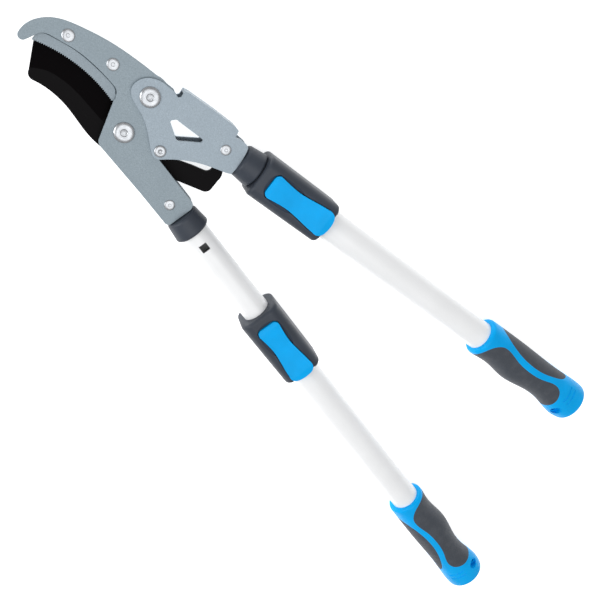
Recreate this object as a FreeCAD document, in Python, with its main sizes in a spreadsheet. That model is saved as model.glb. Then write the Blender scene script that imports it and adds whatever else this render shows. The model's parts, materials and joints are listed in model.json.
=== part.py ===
"""Bypass loppers with telescopic handles, as an assembly of separate pieces.

The loppers lie flat on their side: +Z is up, +X runs along the fixed handle towards its grip, and the
lever handle lies on the +Y side. Every sketch is drawn about one of these places, which the sheet sets:

head          the blade's pivot, at mid-thickness between the two frame plates
left, right   the axis of the fixed handle's tube and of the lever handle's tube, level with their pivots
sliders       the same axes, at the mouth of the clamp

The whole assembly is then shifted, so that its origin is the centre of its footprint.
"""

import FreeCAD, Part
import math
import os

import Sketcher
from FreeCAD import Placement, Rotation, Vector

INNER_TUBE = (
    "=socket_depth + clamp_gap + clamp_len + outer_tube_bare + grip_bore_len - guide_len - tube_end_room"
)
"""The inner tube fills the outer one when the handle is shortest, but for its guide and some room."""

SIZES = [
    # plates of the head, and the gaps between the moving ones
    ("plate_t", 3.0, "hook plate and frame plate"),
    ("cheek_t", 2.5, "lever channel's sheet"),
    ("insert_t", 3.0, "serrated strip"),
    ("blade_t", 4.0, "blade"),
    ("side_gap", 0.2, "gap beside each moving plate"),
    # pivots
    ("lever_pivot_x", -10.6, "lever pivot, from the blade pivot"),
    ("lever_pivot_y", 34.3, "lever pivot, from the blade pivot"),
    ("cam_x", 28.8, "cam pin at rest, from the blade pivot"),
    ("cam_y", 14.1, "cam pin at rest, from the blade pivot"),
    ("lever_turn", 75.0, "lever's full opening, degrees"),
    ("blade_ratio", 0.58, "blade's turn for each degree of the lever's"),
    ("bolt_r", 5.0, "pivot bolts' shank"),
    ("bolt_head_r", 8.6, "pivot bolts' head"),
    ("bolt_head_rise", 3.2, "height of a pivot bolt's head"),
    ("bush_r", 7.0, "outside of the blade's bush"),
    ("spacer_r", 8.4, "outside of the pivot spacers"),
    ("cam_pin_r", 3.0, "cam pin's shank"),
    ("cam_head_r", 5.1, "cam pin's head"),
    ("roller_r", 4.6, "outside of the cam roller"),
    ("roller_gap", 0.6, "room each side of the roller in the blade's slot"),
    ("pin_fit", 0.05, "radial clearance of a turning fit"),
    ("nut_rise", 4.0, "height of a nut"),
    ("rivet_r", 2.5, "jaw rivets' shank"),
    ("rivet_head_r", 5.0, "jaw rivets' head"),
    ("screw_r", 2.5, "socket screws' shank"),
    ("screw_head_r", 4.6, "socket screws' head"),
    ("small_head_rise", 1.8, "height of a rivet's or screw's head"),
    ("tooth_pitch", 1.7, "serrated strip's teeth"),
    ("tooth_depth", 1.0, "serrated strip's teeth"),
    # handles
    ("lever_angle", 17.4, "lever handle against the fixed handle, closed, degrees"),
    ("left_axis_y", -6.6, "fixed handle's tube axis, from the blade pivot"),
    ("right_axis_y", 1.85, "lever handle's tube axis, from the lever pivot"),
    ("left_collar_x", 86.2, "start of the fixed handle's collar"),
    ("right_collar_x", 92.0, "start of the lever handle's collar"),
    ("collar_len", 17.9, "socket collar"),
    ("collar_wall", 3.1, "collar's wall at its open end"),
    ("socket_depth", 8.0, "how far a tube goes into its collar"),
    ("spigot_len", 9.0, "socket's spigot inside the tube"),
    ("tongue_len", 21.0, "socket's tongue between the plates"),
    ("left_tongue_half", 12.0, "half the height of the fixed handle's tongue"),
    ("right_tongue_half", 9.0, "half the height of the lever handle's tongue"),
    ("tube_r", 15.0, "outer tube"),
    ("tube_wall", 1.5, "both tubes' wall"),
    ("slide_gap", 0.3, "gap between the tubes"),
    ("outer_tube_bare", 216.4, "outer tube between clamp and grip"),
    ("guide_len", 10.0, "tube guide's shoe"),
    ("tube_end_room", 7.4, "room past the tube guide when the handle is shortest"),
    ("lock_step", 98.5, "pitch of the lock holes"),
    ("lock_steps", 3, "steps from the shortest to the longest handle"),
    ("left_step", 1, "step that the fixed handle stands at"),
    ("right_step", 0, "step that the lever handle stands at"),
    ("lock_hole", 7.6, "side of a square lock hole"),
    # clamps and lock levers
    ("clamp_len", 78.6, "clamp housing"),
    ("clamp_wall", 4.8, "clamp's side wall over the outer tube"),
    ("clamp_roof", 4.6, "clamp's top and bottom over the outer tube"),
    ("clamp_corner", 10.0, "clamp's corner radius"),
    ("clamp_gap", 0.4, "clamp to collar, at the shortest"),
    ("mouth_len", 24.0, "clamp's guide on the inner tube"),
    ("lever_x", 11.0, "start of the lock lever, from the clamp's mouth"),
    ("lever_len", 67.5, "lock lever"),
    ("head_half", 11.0, "half width of the lock lever's lock end"),
    ("waist_half", 9.1, "half width of the lock lever's waist"),
    ("thumb_half", 12.2, "half width of the lock lever's thumb end"),
    ("lever_gap", 0.8, "gap round the lock lever"),
    ("lever_turn_max", 5.5, "lock lever's travel, degrees"),
    ("hinge_x", 42.0, "lock lever's hinge, from the clamp's mouth"),
    ("hinge_rise", 3.0, "lock lever's hinge, above the outer tube"),
    ("hinge_pin_r", 0.9, "lock lever's hinge pin"),
    ("floor_rise", 0.8, "clamp's floor under the lock lever, above the outer tube"),
    ("lock_tooth", 5.6, "side of the square lock tooth"),
    ("lock_tooth_x", 14.2, "lock tooth, from the clamp's mouth"),
    ("spring_x", 62.0, "lock spring, from the clamp's mouth"),
    ("spring_len", 19.0, "lock spring, a bowed leaf"),
    ("spring_width", 6.0, "lock spring"),
    ("spring_t", 0.4, "lock spring's sheet"),
    # grips
    ("grip_len", 153.5, "grip"),
    ("pad_t", 2.4, "rubber pads"),
    ("grip_bore_len", 119.0, "how far the outer tube goes into the grip"),
    ("hang_hole_r", 3.0, "hang hole"),
    ("hang_hole_end", 20.0, "hang hole, from the grip's end"),
    ("hang_recess", 8.0, "half the thickness left round the hang hole"),
    ("grip_rim_round", 3.6, "rounding of the grip's rim"),
    ("grip_end_round", 5.0, "rounding of the grip's far end"),
    # lengths that follow from the others
    ("inner_tube_len", INNER_TUBE, "inner tube"),
    # shift of the whole assembly, worked out at the end
    ("origin_x", 0.0, "footprint's centre"),
    ("origin_y", 0.0, "footprint's centre"),
    ("origin_z", 0.0, "lowest point"),
]

LEVER_UNDER = 1.6
"""Height of the lock lever's underside at its hinge, above the outer tube."""

LEVER_UNDER_END = 5.3
"""Height of the lock lever's underside at its thumb end, above the outer tube."""

SPRING_CROWN = 3.2
"""Height of the lock spring's crown above the outer tube, just under the lock lever."""

GLUE_GAP = 0.02
"""Radial gap left where two pieces of one body are glued or pressed together."""

THREAD_END = 1.0
"""How far a bolt's end stands out of its nut."""

NUT_ACROSS = 1.75
"""A nut's corner radius, in shank radii."""

CLAMP_ROUND = 3.0
"""Rounding of the clamp's two ends."""

BEYOND_GRIP = 40.0
"""A distance from the tube's axis that is clear of the grip."""

HANG_RECESS_R = 4.8
"""Radius of the recess round a hang hole."""

SLOT_OVERRUN = 4.6
"""How far the cam slot runs on past the pin's last place."""

THROUGH = 1000.0
"""A length that passes right through the assembly."""

doc = FreeCAD.newDocument("loppers")


def make_sheet():
    """Write every driving size into one spreadsheet, under its own alias."""
    sheet = doc.addObject("Spreadsheet::Sheet", "sizes")
    for row, (alias, value, note) in enumerate(SIZES, start=1):
        sheet.set(f"A{row}", alias)
        sheet.set(f"B{row}", str(value))
        sheet.set(f"C{row}", note)
        sheet.setAlias(f"B{row}", alias)
    doc.recompute()
    return sheet


sheet = make_sheet()


def size(alias):
    """The number in the sheet's cell of this alias."""
    return float(sheet.get(alias))


def bind(thing, **formulas):
    """Bind properties of a document object to formulas of the sheet's cells."""
    for name, formula in formulas.items():
        thing.setExpression(name.replace("__", "."), formula)
    return thing


# heights, as formulas of the sheet's cells
HALF_GAP = "((sizes.insert_t + sizes.blade_t) / 2 + sizes.side_gap)"
HOOK_TOP = f"({HALF_GAP} + sizes.plate_t)"
CHEEK_Z = f"({HOOK_TOP} + sizes.side_gap)"
CHEEK_TOP = f"({CHEEK_Z} + sizes.cheek_t)"
INSERT_Z = f"({HALF_GAP} - sizes.insert_t)"
TOOTH_SEAT = "3"
HINGE_LEN = "2 * sizes.head_half + 4"
BLADE_Z = f"(-{HALF_GAP} + sizes.side_gap)"

# the places that pieces are drawn about: two formulas, and whether it turns with the lever handle
PAST_COLLAR = "sizes.collar_len + sizes.clamp_gap"
LEFT_CLAMP_X = f"sizes.left_collar_x + {PAST_COLLAR} + sizes.left_step * sizes.lock_step"
RIGHT_CLAMP_X = f"sizes.right_collar_x + {PAST_COLLAR} + sizes.right_step * sizes.lock_step"


def along_right(distance):
    """Formulas for a place on the lever handle's axis, this far from its pivot."""
    turn = "sizes.lever_angle * 1 deg"
    return (
        f"sizes.lever_pivot_x + ({distance}) * cos({turn}) - sizes.right_axis_y * sin({turn})",
        f"sizes.lever_pivot_y + ({distance}) * sin({turn}) + sizes.right_axis_y * cos({turn})",
        True,
    )


PLACES = {
    "head": ("0", "0", False),
    "lever_pivot": ("sizes.lever_pivot_x", "sizes.lever_pivot_y", False),
    "cam": ("sizes.cam_x", "sizes.cam_y", False),
    "left": ("0", "sizes.left_axis_y", False),
    "right": along_right("0"),
    "left_slider": (LEFT_CLAMP_X, "sizes.left_axis_y", False),
    "right_slider": along_right(RIGHT_CLAMP_X),
}

nodes = {}


def finish_node(thing, label, place):
    """Name a finished sub-part and place it from the sheet."""
    along, across, turned = PLACES[place]
    thing.Label = label
    if turned:
        thing.Placement = Placement(Vector(), Rotation(Vector(0, 0, 1), size("lever_angle")))
        thing.setExpression("Placement.Rotation.Angle", "sizes.lever_angle")
    thing.setExpression("Placement.Base.x", f"sizes.origin_x + {along}")
    thing.setExpression("Placement.Base.y", f"sizes.origin_y + {across}")
    thing.setExpression("Placement.Base.z", "sizes.origin_z")
    nodes[label] = thing
    return thing


class Outline:
    """A closed outline of straight runs, arcs and smooth curves, drawn from point to point."""

    def __init__(self, x, y):
        self.start = Vector(x, y, 0)
        self.here = self.start
        self.pieces = []

    def line(self, *points):
        """Straight runs through the given points."""
        for x, y in points:
            there = Vector(x, y, 0)
            self.pieces.append(Part.LineSegment(self.here, there))
            self.here = there
        return self

    def arc(self, via, to):
        """An arc through one point to another."""
        there = Vector(*to, 0)
        self.pieces.append(Part.Arc(self.here, Vector(*via, 0), there))
        self.here = there
        return self

    def curve(self, *points):
        """A smooth curve through the given points."""
        spline = Part.BSplineCurve()
        spline.interpolate([self.here] + [Vector(x, y, 0) for x, y in points])
        self.pieces.append(spline)
        self.here = Vector(*points[-1], 0)
        return self

    def close(self):
        """Straight back to the start."""
        return self.line((self.start.x, self.start.y)).pieces

    def close_arc(self, via):
        """Back to the start by an arc."""
        return self.arc(via, (self.start.x, self.start.y)).pieces


def polygon(*points):
    """A closed outline of straight runs."""
    return Outline(*points[0]).line(*points[1:]).close()


def box_outline(low_x, high_x, low_y, high_y):
    """A rectangle."""
    return polygon((low_x, low_y), (high_x, low_y), (high_x, high_y), (low_x, high_y))


def circle(x, y, radius):
    """A circle, as a list of one curve."""
    return [Part.Circle(Vector(x, y, 0), Vector(0, 0, 1), radius)]


def new_body(name):
    """A PartDesign body."""
    return doc.addObject("PartDesign::Body", name)


def draw(body, plane, curves, height=None):
    """Draw curves in a sketch on one of the body's origin planes, raised by a formula."""
    base = [f for f in body.Origin.OriginFeatures if f.Role == plane][0]
    sketch = body.newObject("Sketcher::SketchObject", body.Name + "_sketch")
    sketch.AttachmentSupport = [(base, "")]
    sketch.MapMode = "FlatFace"
    sketch.addGeometry(curves, False)
    if height:
        sketch.setExpression("AttachmentOffset.Base.z", height)
    return sketch


def draw_round(body, plane, x, y, radius_formula, height=None):
    """Draw one circle whose radius is bound to a formula."""
    sketch = draw(body, plane, circle(x, y, 1.0), height)
    sketch.addConstraint(Sketcher.Constraint("Radius", 0, 1.0))
    sketch.setExpression("Constraints[0]", radius_formula)
    return sketch


def pad(body, sketch, length, symmetric=False):
    """Pad a sketch by a formula's length, upwards or to both sides."""
    feature = body.newObject("PartDesign::Pad", body.Name + "_pad")
    feature.Profile = sketch
    feature.SideType = "Symmetric" if symmetric else "One side"
    return bind(feature, Length=length)


def cut_both_ways(body, sketch):
    """Cut a sketch right through the body, to both sides."""
    feature = body.newObject("PartDesign::Pocket", body.Name + "_cut")
    feature.Profile = sketch
    feature.SideType = "Symmetric"
    feature.Type = "Length"
    feature.Length = 2 * THROUGH
    return feature


def cut_from(body, sketch, length, upwards):
    """Cut a sketch by a formula's length, upwards or downwards from its plane."""
    feature = body.newObject("PartDesign::Pocket", body.Name + "_cut")
    feature.Profile = sketch
    feature.Reversed = upwards
    return bind(feature, Length=length)


def turn(body, curves, axis="V_Axis"):
    """Turn a profile, drawn on the XZ plane, about one of its axes."""
    sketch = draw(body, "XZ_Plane", curves)
    feature = body.newObject("PartDesign::Revolution", body.Name + "_turned")
    feature.Profile = sketch
    feature.ReferenceAxis = (sketch, [axis])
    feature.Angle = 360.0
    return feature


def place_at(x, y, z=0.0):
    """A plain shift."""
    return Placement(Vector(x, y, z), Rotation())


# heights as numbers, for profiles
half_gap = (size("insert_t") + size("blade_t")) / 2 + size("side_gap")
hook_top = half_gap + size("plate_t")
cheek_z = hook_top + size("side_gap")
cheek_top = cheek_z + size("cheek_t")

# the head's places, all from the blade pivot
LEVER_PIVOT = Vector(size("lever_pivot_x"), size("lever_pivot_y"), 0)
CAM = Vector(size("cam_x"), size("cam_y"), 0)
RIVETS = [(-82.7, 12.6), (-46.8, 26.4)]
SHANK_GAP = 0.6
SHANK_BELOW, SHANK_ABOVE = 14.2, 15.6
SHANK_END = size("left_collar_x") - SHANK_GAP
SHANK_LOW = size("left_axis_y") - SHANK_BELOW
SHANK_HIGH = size("left_axis_y") + SHANK_ABOVE
SCREW_INSET = (14.6, 1.2)
LEFT_SCREW = (SHANK_END - SCREW_INSET[0], size("left_axis_y") - SCREW_INSET[1])
RIGHT_SCREW_X = size("right_collar_x") - 17.0


def from_right(along, across):
    """A place beside the lever handle's axis, in the head's own coordinates."""
    turned = Rotation(Vector(0, 0, 1), size("lever_angle")).multVec(
        Vector(along, across + size("right_axis_y"), 0)
    )
    return (LEVER_PIVOT.x + turned.x, LEVER_PIVOT.y + turned.y)


def plate_holes(extra=()):
    """Holes that both frame plates share: two pivots and the socket screw."""
    return (
        circle(0, 0, size("bolt_r") + GLUE_GAP)
        + circle(LEVER_PIVOT.x, LEVER_PIVOT.y, size("bolt_r") + GLUE_GAP)
        + circle(*LEFT_SCREW, size("screw_r") + GLUE_GAP)
        + [hole for x, y in extra for hole in circle(x, y, size("rivet_r") + GLUE_GAP)]
    )


def shank_end(outline):
    """Continue an outline along the shank's lower edge, round its end, and back along its upper edge."""
    return (
        outline.line((SHANK_END - 4, SHANK_LOW))
        .arc((SHANK_END - 1.2, SHANK_LOW + 1.2), (SHANK_END, SHANK_LOW + 4))
        .line((SHANK_END, SHANK_HIGH - 6))
        .arc((SHANK_END - 1.8, SHANK_HIGH - 1.8), (SHANK_END - 6, SHANK_HIGH))
        .line((34, SHANK_HIGH))
        .curve((24, SHANK_HIGH + 2), (16, 18), (10, 30), (3, 42), (-2, 50))
    )


def make_hook_plate():
    """The front plate: a hooked jaw, the two pivots and the fixed handle's shank."""
    outline = Outline(-24.9, 9.6).line((-8.2, -18.0)).arc((-6.0, -20.8), (-1.7, -22.0))
    outline.curve((16.6, -21.6), (50, SHANK_LOW))
    shank_end(outline).arc((-2.6, 52.6), (-4.8, 53.1))
    outline.curve((-18.8, 49.4), (-40.5, 42.9), (-62.6, 34.5), (-81.8, 24.5), (-97.2, 13.6),
                  (-104.1, 3.7), (-106.8, -8.3), (-105.3, -15.8))
    outline.arc((-101.8, -18.1), (-98.4, -15.6))
    outline.curve((-97.2, -9.6), (-94.6, -1.4), (-87, 3.4), (-69.4, 10.9), (-49.6, 15.3), (-32.6, 16.8))
    curves = outline.close_arc((-27.6, 14.6))
    body = new_body("hook_plate")
    pad(body, draw(body, "XY_Plane", curves + plate_holes(RIVETS), HALF_GAP), "sizes.plate_t")
    finish_node(body, "hook_plate", "head")


def make_frame_plate():
    """The rear plate: the two pivots and the shank, without the jaw."""
    outline = Outline(-19.0, 8.0).line((-8.2, -18.0)).arc((-6.0, -20.8), (-1.7, -22.0))
    outline.curve((16.6, -21.6), (50, SHANK_LOW))
    shank_end(outline).arc((-4.0, 51.6), (-8.0, 51.2))
    outline.curve((-19.6, 48.0), (-26.4, 38.6))
    curves = outline.curve((-25.6, 24.0), (-19.0, 8.0)).pieces
    body = new_body("frame_plate")
    pad(body, draw(body, "XY_Plane", curves + plate_holes(), f"-{HOOK_TOP}"), "sizes.plate_t")
    finish_node(body, "frame_plate", "head")


def serrated_edge(edge):
    """Points of fine teeth along an arc, from its start to its end."""
    count = round(edge.length() / size("tooth_pitch"))
    first, last = edge.FirstParameter, edge.LastParameter
    points = []
    for step in range(2 * count + 1):
        here = first + (last - first) * step / (2 * count)
        place = edge.value(here)
        outward = (edge.Center - place).normalize()
        points.append(place + outward * (size("tooth_depth") if step % 2 else 0.0))
    return points


def make_serrated_insert():
    """The strip behind the jaw's edge, with fine teeth that hold a branch."""
    edge = Part.ArcOfCircle(Vector(-95.9, -11.0, 0), Vector(-58.6, 5.3, 0), Vector(-24.8, 8.4, 0))
    teeth = serrated_edge(edge)
    outline = Outline(teeth[0].x, teeth[0].y).line(*[(point.x, point.y) for point in teeth[1:]])
    outline.line((-21.4, 12.0), (-22.6, 22.0)).arc((-24.6, 33.0), (-33.0, 36.4))
    outline.curve((-55.0, 32.0), (-80.0, 19.8), (-92.0, 8.6), (-97.2, -4.0))
    body = new_body("serrated_insert")
    holes = [hole for x, y in RIVETS for hole in circle(x, y, size("rivet_r") + GLUE_GAP)]
    pad(body, draw(body, "XY_Plane", outline.close() + holes, INSERT_Z), "sizes.insert_t")
    finish_node(body, "serrated_insert", "head")


def slot_line():
    """Places of the cam pin on the blade, from shut to open, as the lever and the blade turn together."""
    steps = 6
    places = []
    for step in range(steps + 1):
        lever = size("lever_turn") * step / steps
        swung = LEVER_PIVOT + Rotation(Vector(0, 0, 1), lever).multVec(CAM - LEVER_PIVOT)
        places.append(Rotation(Vector(0, 0, 1), -lever * size("blade_ratio")).multVec(swung))
    return places


def slot_outline():
    """The blade's cam slot: its centre line widened by the roller and its gap, with round ends."""
    half = size("roller_r") + size("roller_gap")
    line = slot_line()
    line.append(line[-1] + (line[-1] - line[-2]).normalize() * SLOT_OVERRUN)
    sides = []
    for index, place in enumerate(line):
        before = line[max(index - 1, 0)]
        after = line[min(index + 1, len(line) - 1)]
        ahead = (after - before).normalize()
        sides.append((place, ahead, Vector(-ahead.y, ahead.x, 0)))
    upper = [place + side * half for place, ahead, side in sides]
    lower = [place - side * half for place, ahead, side in sides]
    far = sides[-1][0] + sides[-1][1] * half
    near = sides[0][0] - sides[0][1] * half
    outline = Outline(lower[0].x, lower[0].y).curve(*[(point.x, point.y) for point in lower[1:]])
    outline.arc((far.x, far.y), (upper[-1].x, upper[-1].y))
    outline.curve(*[(point.x, point.y) for point in upper[-2::-1]])
    return outline.close_arc((near.x, near.y))


def make_blade():
    """The bypass blade: cutting edge, pivot boss, and a tail with the cam slot."""
    outline = Outline(-96.4, -8.6).line((-79.6, -28.4)).arc((-76.4, -31.4), (-72.0, -31.2))
    outline.curve((-58.4, -25.9), (-41.7, -23.6), (-16.9, -24.6), (-6.0, -23.8))
    outline.arc((1.6, -22.2), (8.6, -19.8)).line((79.6, 21.0))
    outline.arc((82.6, 24.0), (83.2, 28.0)).line((80.6, 37.4)).arc((76.4, 45.4), (67.6, 48.0))
    outline.line((54.5, 43.4), (22.4, 21.6)).curve((8.0, 20.6), (-12.0, 18.6), (-32.0, 13.0))
    outline.curve((-50.0, 10.4), (-68.0, 6.0), (-83.0, 0.4), (-96.4, -8.6))
    body = new_body("blade")
    curves = outline.pieces + slot_outline() + circle(0, 0, size("bush_r") + GLUE_GAP)
    pad(body, draw(body, "XY_Plane", curves, BLADE_Z), "sizes.blade_t")
    finish_node(body, "blade", "head")


FOLD_START = (1.9, 59.9)
FOLD_END = (53.8, 76.6)


def cheek_outline():
    """A cheek of the lever channel: pivot lobe, cam lobe, socket end and the fold's two relief notches."""
    low_corner = from_right(size("right_collar_x") - 0.8, -13.6)
    end_middle = from_right(size("right_collar_x") - 0.3, 0.0)
    high_corner = from_right(size("right_collar_x") - 2.6, 12.4)
    end_top = from_right(size("right_collar_x") - 7.0, 14.0)
    outline = Outline(-19.6, 22.9).curve((-12.6, 21.6), (-2.3, 20.2), (9.5, 16.0), (20.4, 10.3), (25.6, 7.8))
    outline.arc((30.4, 7.3), (34.6, 10.2)).curve((40.3, 18.1), (53.8, 32.0), (65.6, 40.6), (73.6, 45.6))
    outline.arc((76.6, 47.4), low_corner).arc(end_middle, high_corner)
    outline.arc((68.2, 75.2), end_top).line((60.3, 73.6), (56.9, 71.0), FOLD_END)
    outline.line((50.3, 76.5), (29.6, 70.2), (6.3, 62.1), FOLD_START)
    outline.line((3.9, 54.4), (3.0, 52.2), (-3.9, 52.4), (-11.0, 50.4))
    return outline.curve((-17.8, 47.5), (-22.8, 43.0), (-26.0, 36.4), (-26.0, 29.8), (-19.6, 22.9)).pieces


def window_outline():
    """The three-cornered window in each cheek."""
    outline = Outline(15.4, 39.6).line((14.6, 38.0)).arc((14.2, 36.0), (16.0, 34.9))
    outline.line((26.6, 31.4)).arc((29.6, 30.8), (31.6, 32.2)).line((42.4, 45.0))
    return outline.arc((42.6, 47.4), (40.5, 47.8)).line((17.6, 41.0)).close_arc((16.2, 40.6))


def make_lever_channel():
    """The lever's channel: two cheeks folded from one sheet along their upper edge."""
    body = new_body("lever_channel")
    holes = circle(LEVER_PIVOT.x, LEVER_PIVOT.y, size("bolt_r") + size("pin_fit"))
    holes += circle(CAM.x, CAM.y, size("cam_pin_r") + GLUE_GAP)
    holes += circle(*from_right(RIGHT_SCREW_X, 0.0), size("screw_r") + GLUE_GAP)
    cheek = cheek_outline() + window_outline() + holes
    pad(body, draw(body, "XY_Plane", cheek, CHEEK_Z), "sizes.cheek_t")
    along = Vector(FOLD_END[0] - FOLD_START[0], FOLD_END[1] - FOLD_START[1], 0).normalize()
    inward = Vector(along.y, -along.x, 0) * size("cheek_t")
    top = [FOLD_START, (6.3, 62.1), (29.6, 70.2), (50.3, 76.5), FOLD_END]
    under = [(x + inward.x, y + inward.y) for x, y in reversed(top)]
    pad(body, draw(body, "XY_Plane", polygon(*top, *under)), f"2 * {CHEEK_TOP}", symmetric=True)
    pad(body, draw(body, "XY_Plane", cheek, f"-{CHEEK_TOP}"), "sizes.cheek_t")
    finish_node(body, "lever_channel", "head")


def domed_head(profile_start, head_r, rise):
    """Extend a turned profile with a low dome and a shallow dimple at its centre."""
    base = profile_start.here
    dimple_r, dimple = head_r * 0.3, rise * 0.2
    profile_start.line((head_r, base.y)).line((head_r, base.y + rise * 0.25))
    profile_start.arc((head_r * 0.74, base.y + rise * 0.78), (dimple_r, base.y + rise))
    return profile_start.line((dimple_r * 0.7, base.y + rise - dimple), (0, base.y + rise - dimple))


def make_turned_pin(label, place, low, high, shank_r, head_r, rise):
    """A bolt, pin or screw: a shank from low to high, and a domed head above it."""
    body = new_body(label)
    profile = Outline(0, low).line((shank_r - 0.4, low), (shank_r, low + 0.4), (shank_r, high))
    turn(body, domed_head(profile, head_r, rise).close())
    return finish_node(body, label, place)


def make_ring(label, place, low, high, inner, outer):
    """A plain ring between two heights, with radii bound to the sheet."""
    body = new_body(label)
    pad(body, draw_round(body, "XY_Plane", 0, 0, outer, low), f"{high} - {low}")
    cut_both_ways(body, draw_round(body, "XY_Plane", 0, 0, inner))
    return finish_node(body, label, place)


def make_nut(label, place, under, bore):
    """A hexagonal nut whose upper face is at a formula's height."""
    body = new_body(label)
    across = size(bore) * NUT_ACROSS
    corners = [
        (across * math.cos(math.radians(60 * k)), across * math.sin(math.radians(60 * k)))
        for k in range(6)
    ]
    sketch = draw(body, "XY_Plane", polygon(*corners), f"{under} - sizes.nut_rise")
    pad(body, sketch, "sizes.nut_rise")
    cut_both_ways(body, draw_round(body, "XY_Plane", 0, 0, f"sizes.{bore} + {GLUE_GAP}"))
    return finish_node(body, label, place)


def make_pivots():
    """Both pivot bolts with their nuts and spacers, the blade's bush, and the cam pin with its roller."""
    bolt_r, head_r, rise = size("bolt_r"), size("bolt_head_r"), size("bolt_head_rise")
    nut_end = size("nut_rise") + THREAD_END
    washer = size("side_gap")
    make_turned_pin("blade_pivot_bolt", "head", -hook_top - nut_end, hook_top, bolt_r, head_r, rise)
    make_nut("blade_pivot_nut", "head", f"-{HOOK_TOP}", "bolt_r")
    round_bolt = f"sizes.bolt_r + {GLUE_GAP}"
    make_ring("blade_pivot_spacer", "head", INSERT_Z, HALF_GAP, round_bolt, "sizes.spacer_r")
    make_ring("blade_bush", "head", BLADE_Z, f"({BLADE_Z} + sizes.blade_t)",
              "sizes.bolt_r + sizes.pin_fit", "sizes.bush_r")
    top = cheek_top + washer
    make_turned_pin("lever_pivot_bolt", "lever_pivot", -top - nut_end, top, bolt_r, head_r, rise)
    make_nut("lever_pivot_nut", "lever_pivot", f"-{CHEEK_TOP} - sizes.side_gap", "bolt_r")
    make_ring("lever_pivot_spacer", "lever_pivot", f"-{HALF_GAP}", HALF_GAP,
              f"sizes.bolt_r + {GLUE_GAP}", "sizes.spacer_r")
    make_turned_pin("cam_pin", "cam", -cheek_top - nut_end, cheek_top, size("cam_pin_r"),
                    size("cam_head_r"), rise * 0.75)
    make_nut("cam_nut", "cam", f"-{CHEEK_TOP}", "cam_pin_r")
    make_ring("cam_roller", "cam", BLADE_Z, f"({BLADE_Z} + sizes.blade_t)",
              "sizes.cam_pin_r + sizes.pin_fit", "sizes.roller_r")


def make_rivet(name, x, y):
    """One jaw rivet: a shank through plate and strip, a low head in front and a flat one behind."""
    shank = bind(doc.addObject("Part::Cylinder", name + "_shank"), Radius="sizes.rivet_r",
                 Height="sizes.plate_t + sizes.insert_t")
    head = bind(doc.addObject("Part::Cone", name + "_head"), Radius1="sizes.rivet_head_r",
                Radius2="sizes.rivet_head_r * 0.6", Height="sizes.small_head_rise")
    shank.Placement = place_at(x, y)
    head.Placement = place_at(x, y)
    shank.setExpression("Placement.Base.z", INSERT_Z)
    head.setExpression("Placement.Base.z", HOOK_TOP)
    rivet = doc.addObject("Part::MultiFuse", name)
    rivet.Shapes = [shank, head]
    return rivet


def make_jaw_rivets():
    """Both jaw rivets, as one group."""
    group = doc.addObject("Part::Compound", "jaw_rivets")
    group.Links = [make_rivet(f"jaw_rivet_{index}", x, y) for index, (x, y) in enumerate(RIVETS)]
    finish_node(group, "jaw_rivets", "head")


def make_socket(label, place, collar_x, tongue_half, tongue_gap, screw, axis_shift):
    """A tube socket: a tongue between plates, a collar, and a spigot inside the inner tube."""
    inner_r = size("tube_r") - size("tube_wall") - size("slide_gap")
    spigot_r = inner_r - size("tube_wall") - GLUE_GAP
    seat_r = inner_r + GLUE_GAP
    collar_r = inner_r + size("collar_wall")
    start = size(collar_x)
    end = start + size("collar_len")
    seat = end - size("socket_depth")
    body = new_body(label)
    profile = Outline(start, 0).line((start, collar_r - 3.4))
    profile.arc((start + 0.9, collar_r - 2.1), (start + 3, collar_r - 1.4)).line((end - 3, collar_r))
    profile.arc((end - 0.7, collar_r - 0.5), (end, collar_r - 1.6))
    profile.line((end, seat_r), (seat, seat_r), (seat, spigot_r), (end + size("spigot_len"), spigot_r))
    profile.line((end + size("spigot_len"), 0))
    turn(body, profile.close(), "H_Axis")
    low, high = axis_shift - tongue_half, axis_shift + tongue_half
    tongue = box_outline(start - size("tongue_len"), start + 1, low, high)
    pad(body, draw(body, "XY_Plane", tongue), f"2 * ({tongue_gap} - sizes.side_gap / 2)", symmetric=True)
    cut_both_ways(body, draw_round(body, "XY_Plane", *screw, f"sizes.screw_r + {GLUE_GAP}"))
    finish_node(body, label, place)


def make_sockets():
    """Both tube sockets, with their screws and nuts."""
    shift = (SHANK_LOW + SHANK_HIGH) / 2 - size("left_axis_y")
    left_screw = (LEFT_SCREW[0], LEFT_SCREW[1] - size("left_axis_y"))
    right_screw = (RIGHT_SCREW_X, 0.0)
    left_half, right_half = size("left_tongue_half"), size("right_tongue_half")
    make_socket("left_socket", "left", "left_collar_x", left_half, HALF_GAP, left_screw, shift)
    make_socket("right_socket", "right", "right_collar_x", right_half, CHEEK_Z, right_screw, 0.0)
    for side, top, (x, y), under in (
        ("left", hook_top, LEFT_SCREW, HOOK_TOP),
        ("right", cheek_top, from_right(*right_screw), CHEEK_TOP),
    ):
        PLACES[side + "_screw"] = (str(x), str(y), False)
        make_turned_pin(side + "_socket_screw", side + "_screw", -top - size("nut_rise"), top,
                        size("screw_r"), size("screw_head_r"), size("small_head_rise"))
        make_nut(side + "_socket_nut", side + "_screw", f"-{under}", "screw_r")


def make_tube(label, place, start, length, radius, holes=()):
    """A tube along the handle, from a number's start, with square lock holes in its top."""
    body = new_body(label)
    pad(body, draw_round(body, "YZ_Plane", 0, 0, radius, str(start)), length)
    cut_both_ways(body, draw_round(body, "YZ_Plane", 0, 0, f"{radius} - sizes.tube_wall"))
    half = size("lock_hole") / 2
    if holes:
        squares = [curve for x in holes for curve in box_outline(x - half, x + half, -half, half)]
        cut_from(body, draw(body, "XY_Plane", squares), "sizes.tube_r", upwards=True)
    finish_node(body, label, place)


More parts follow.
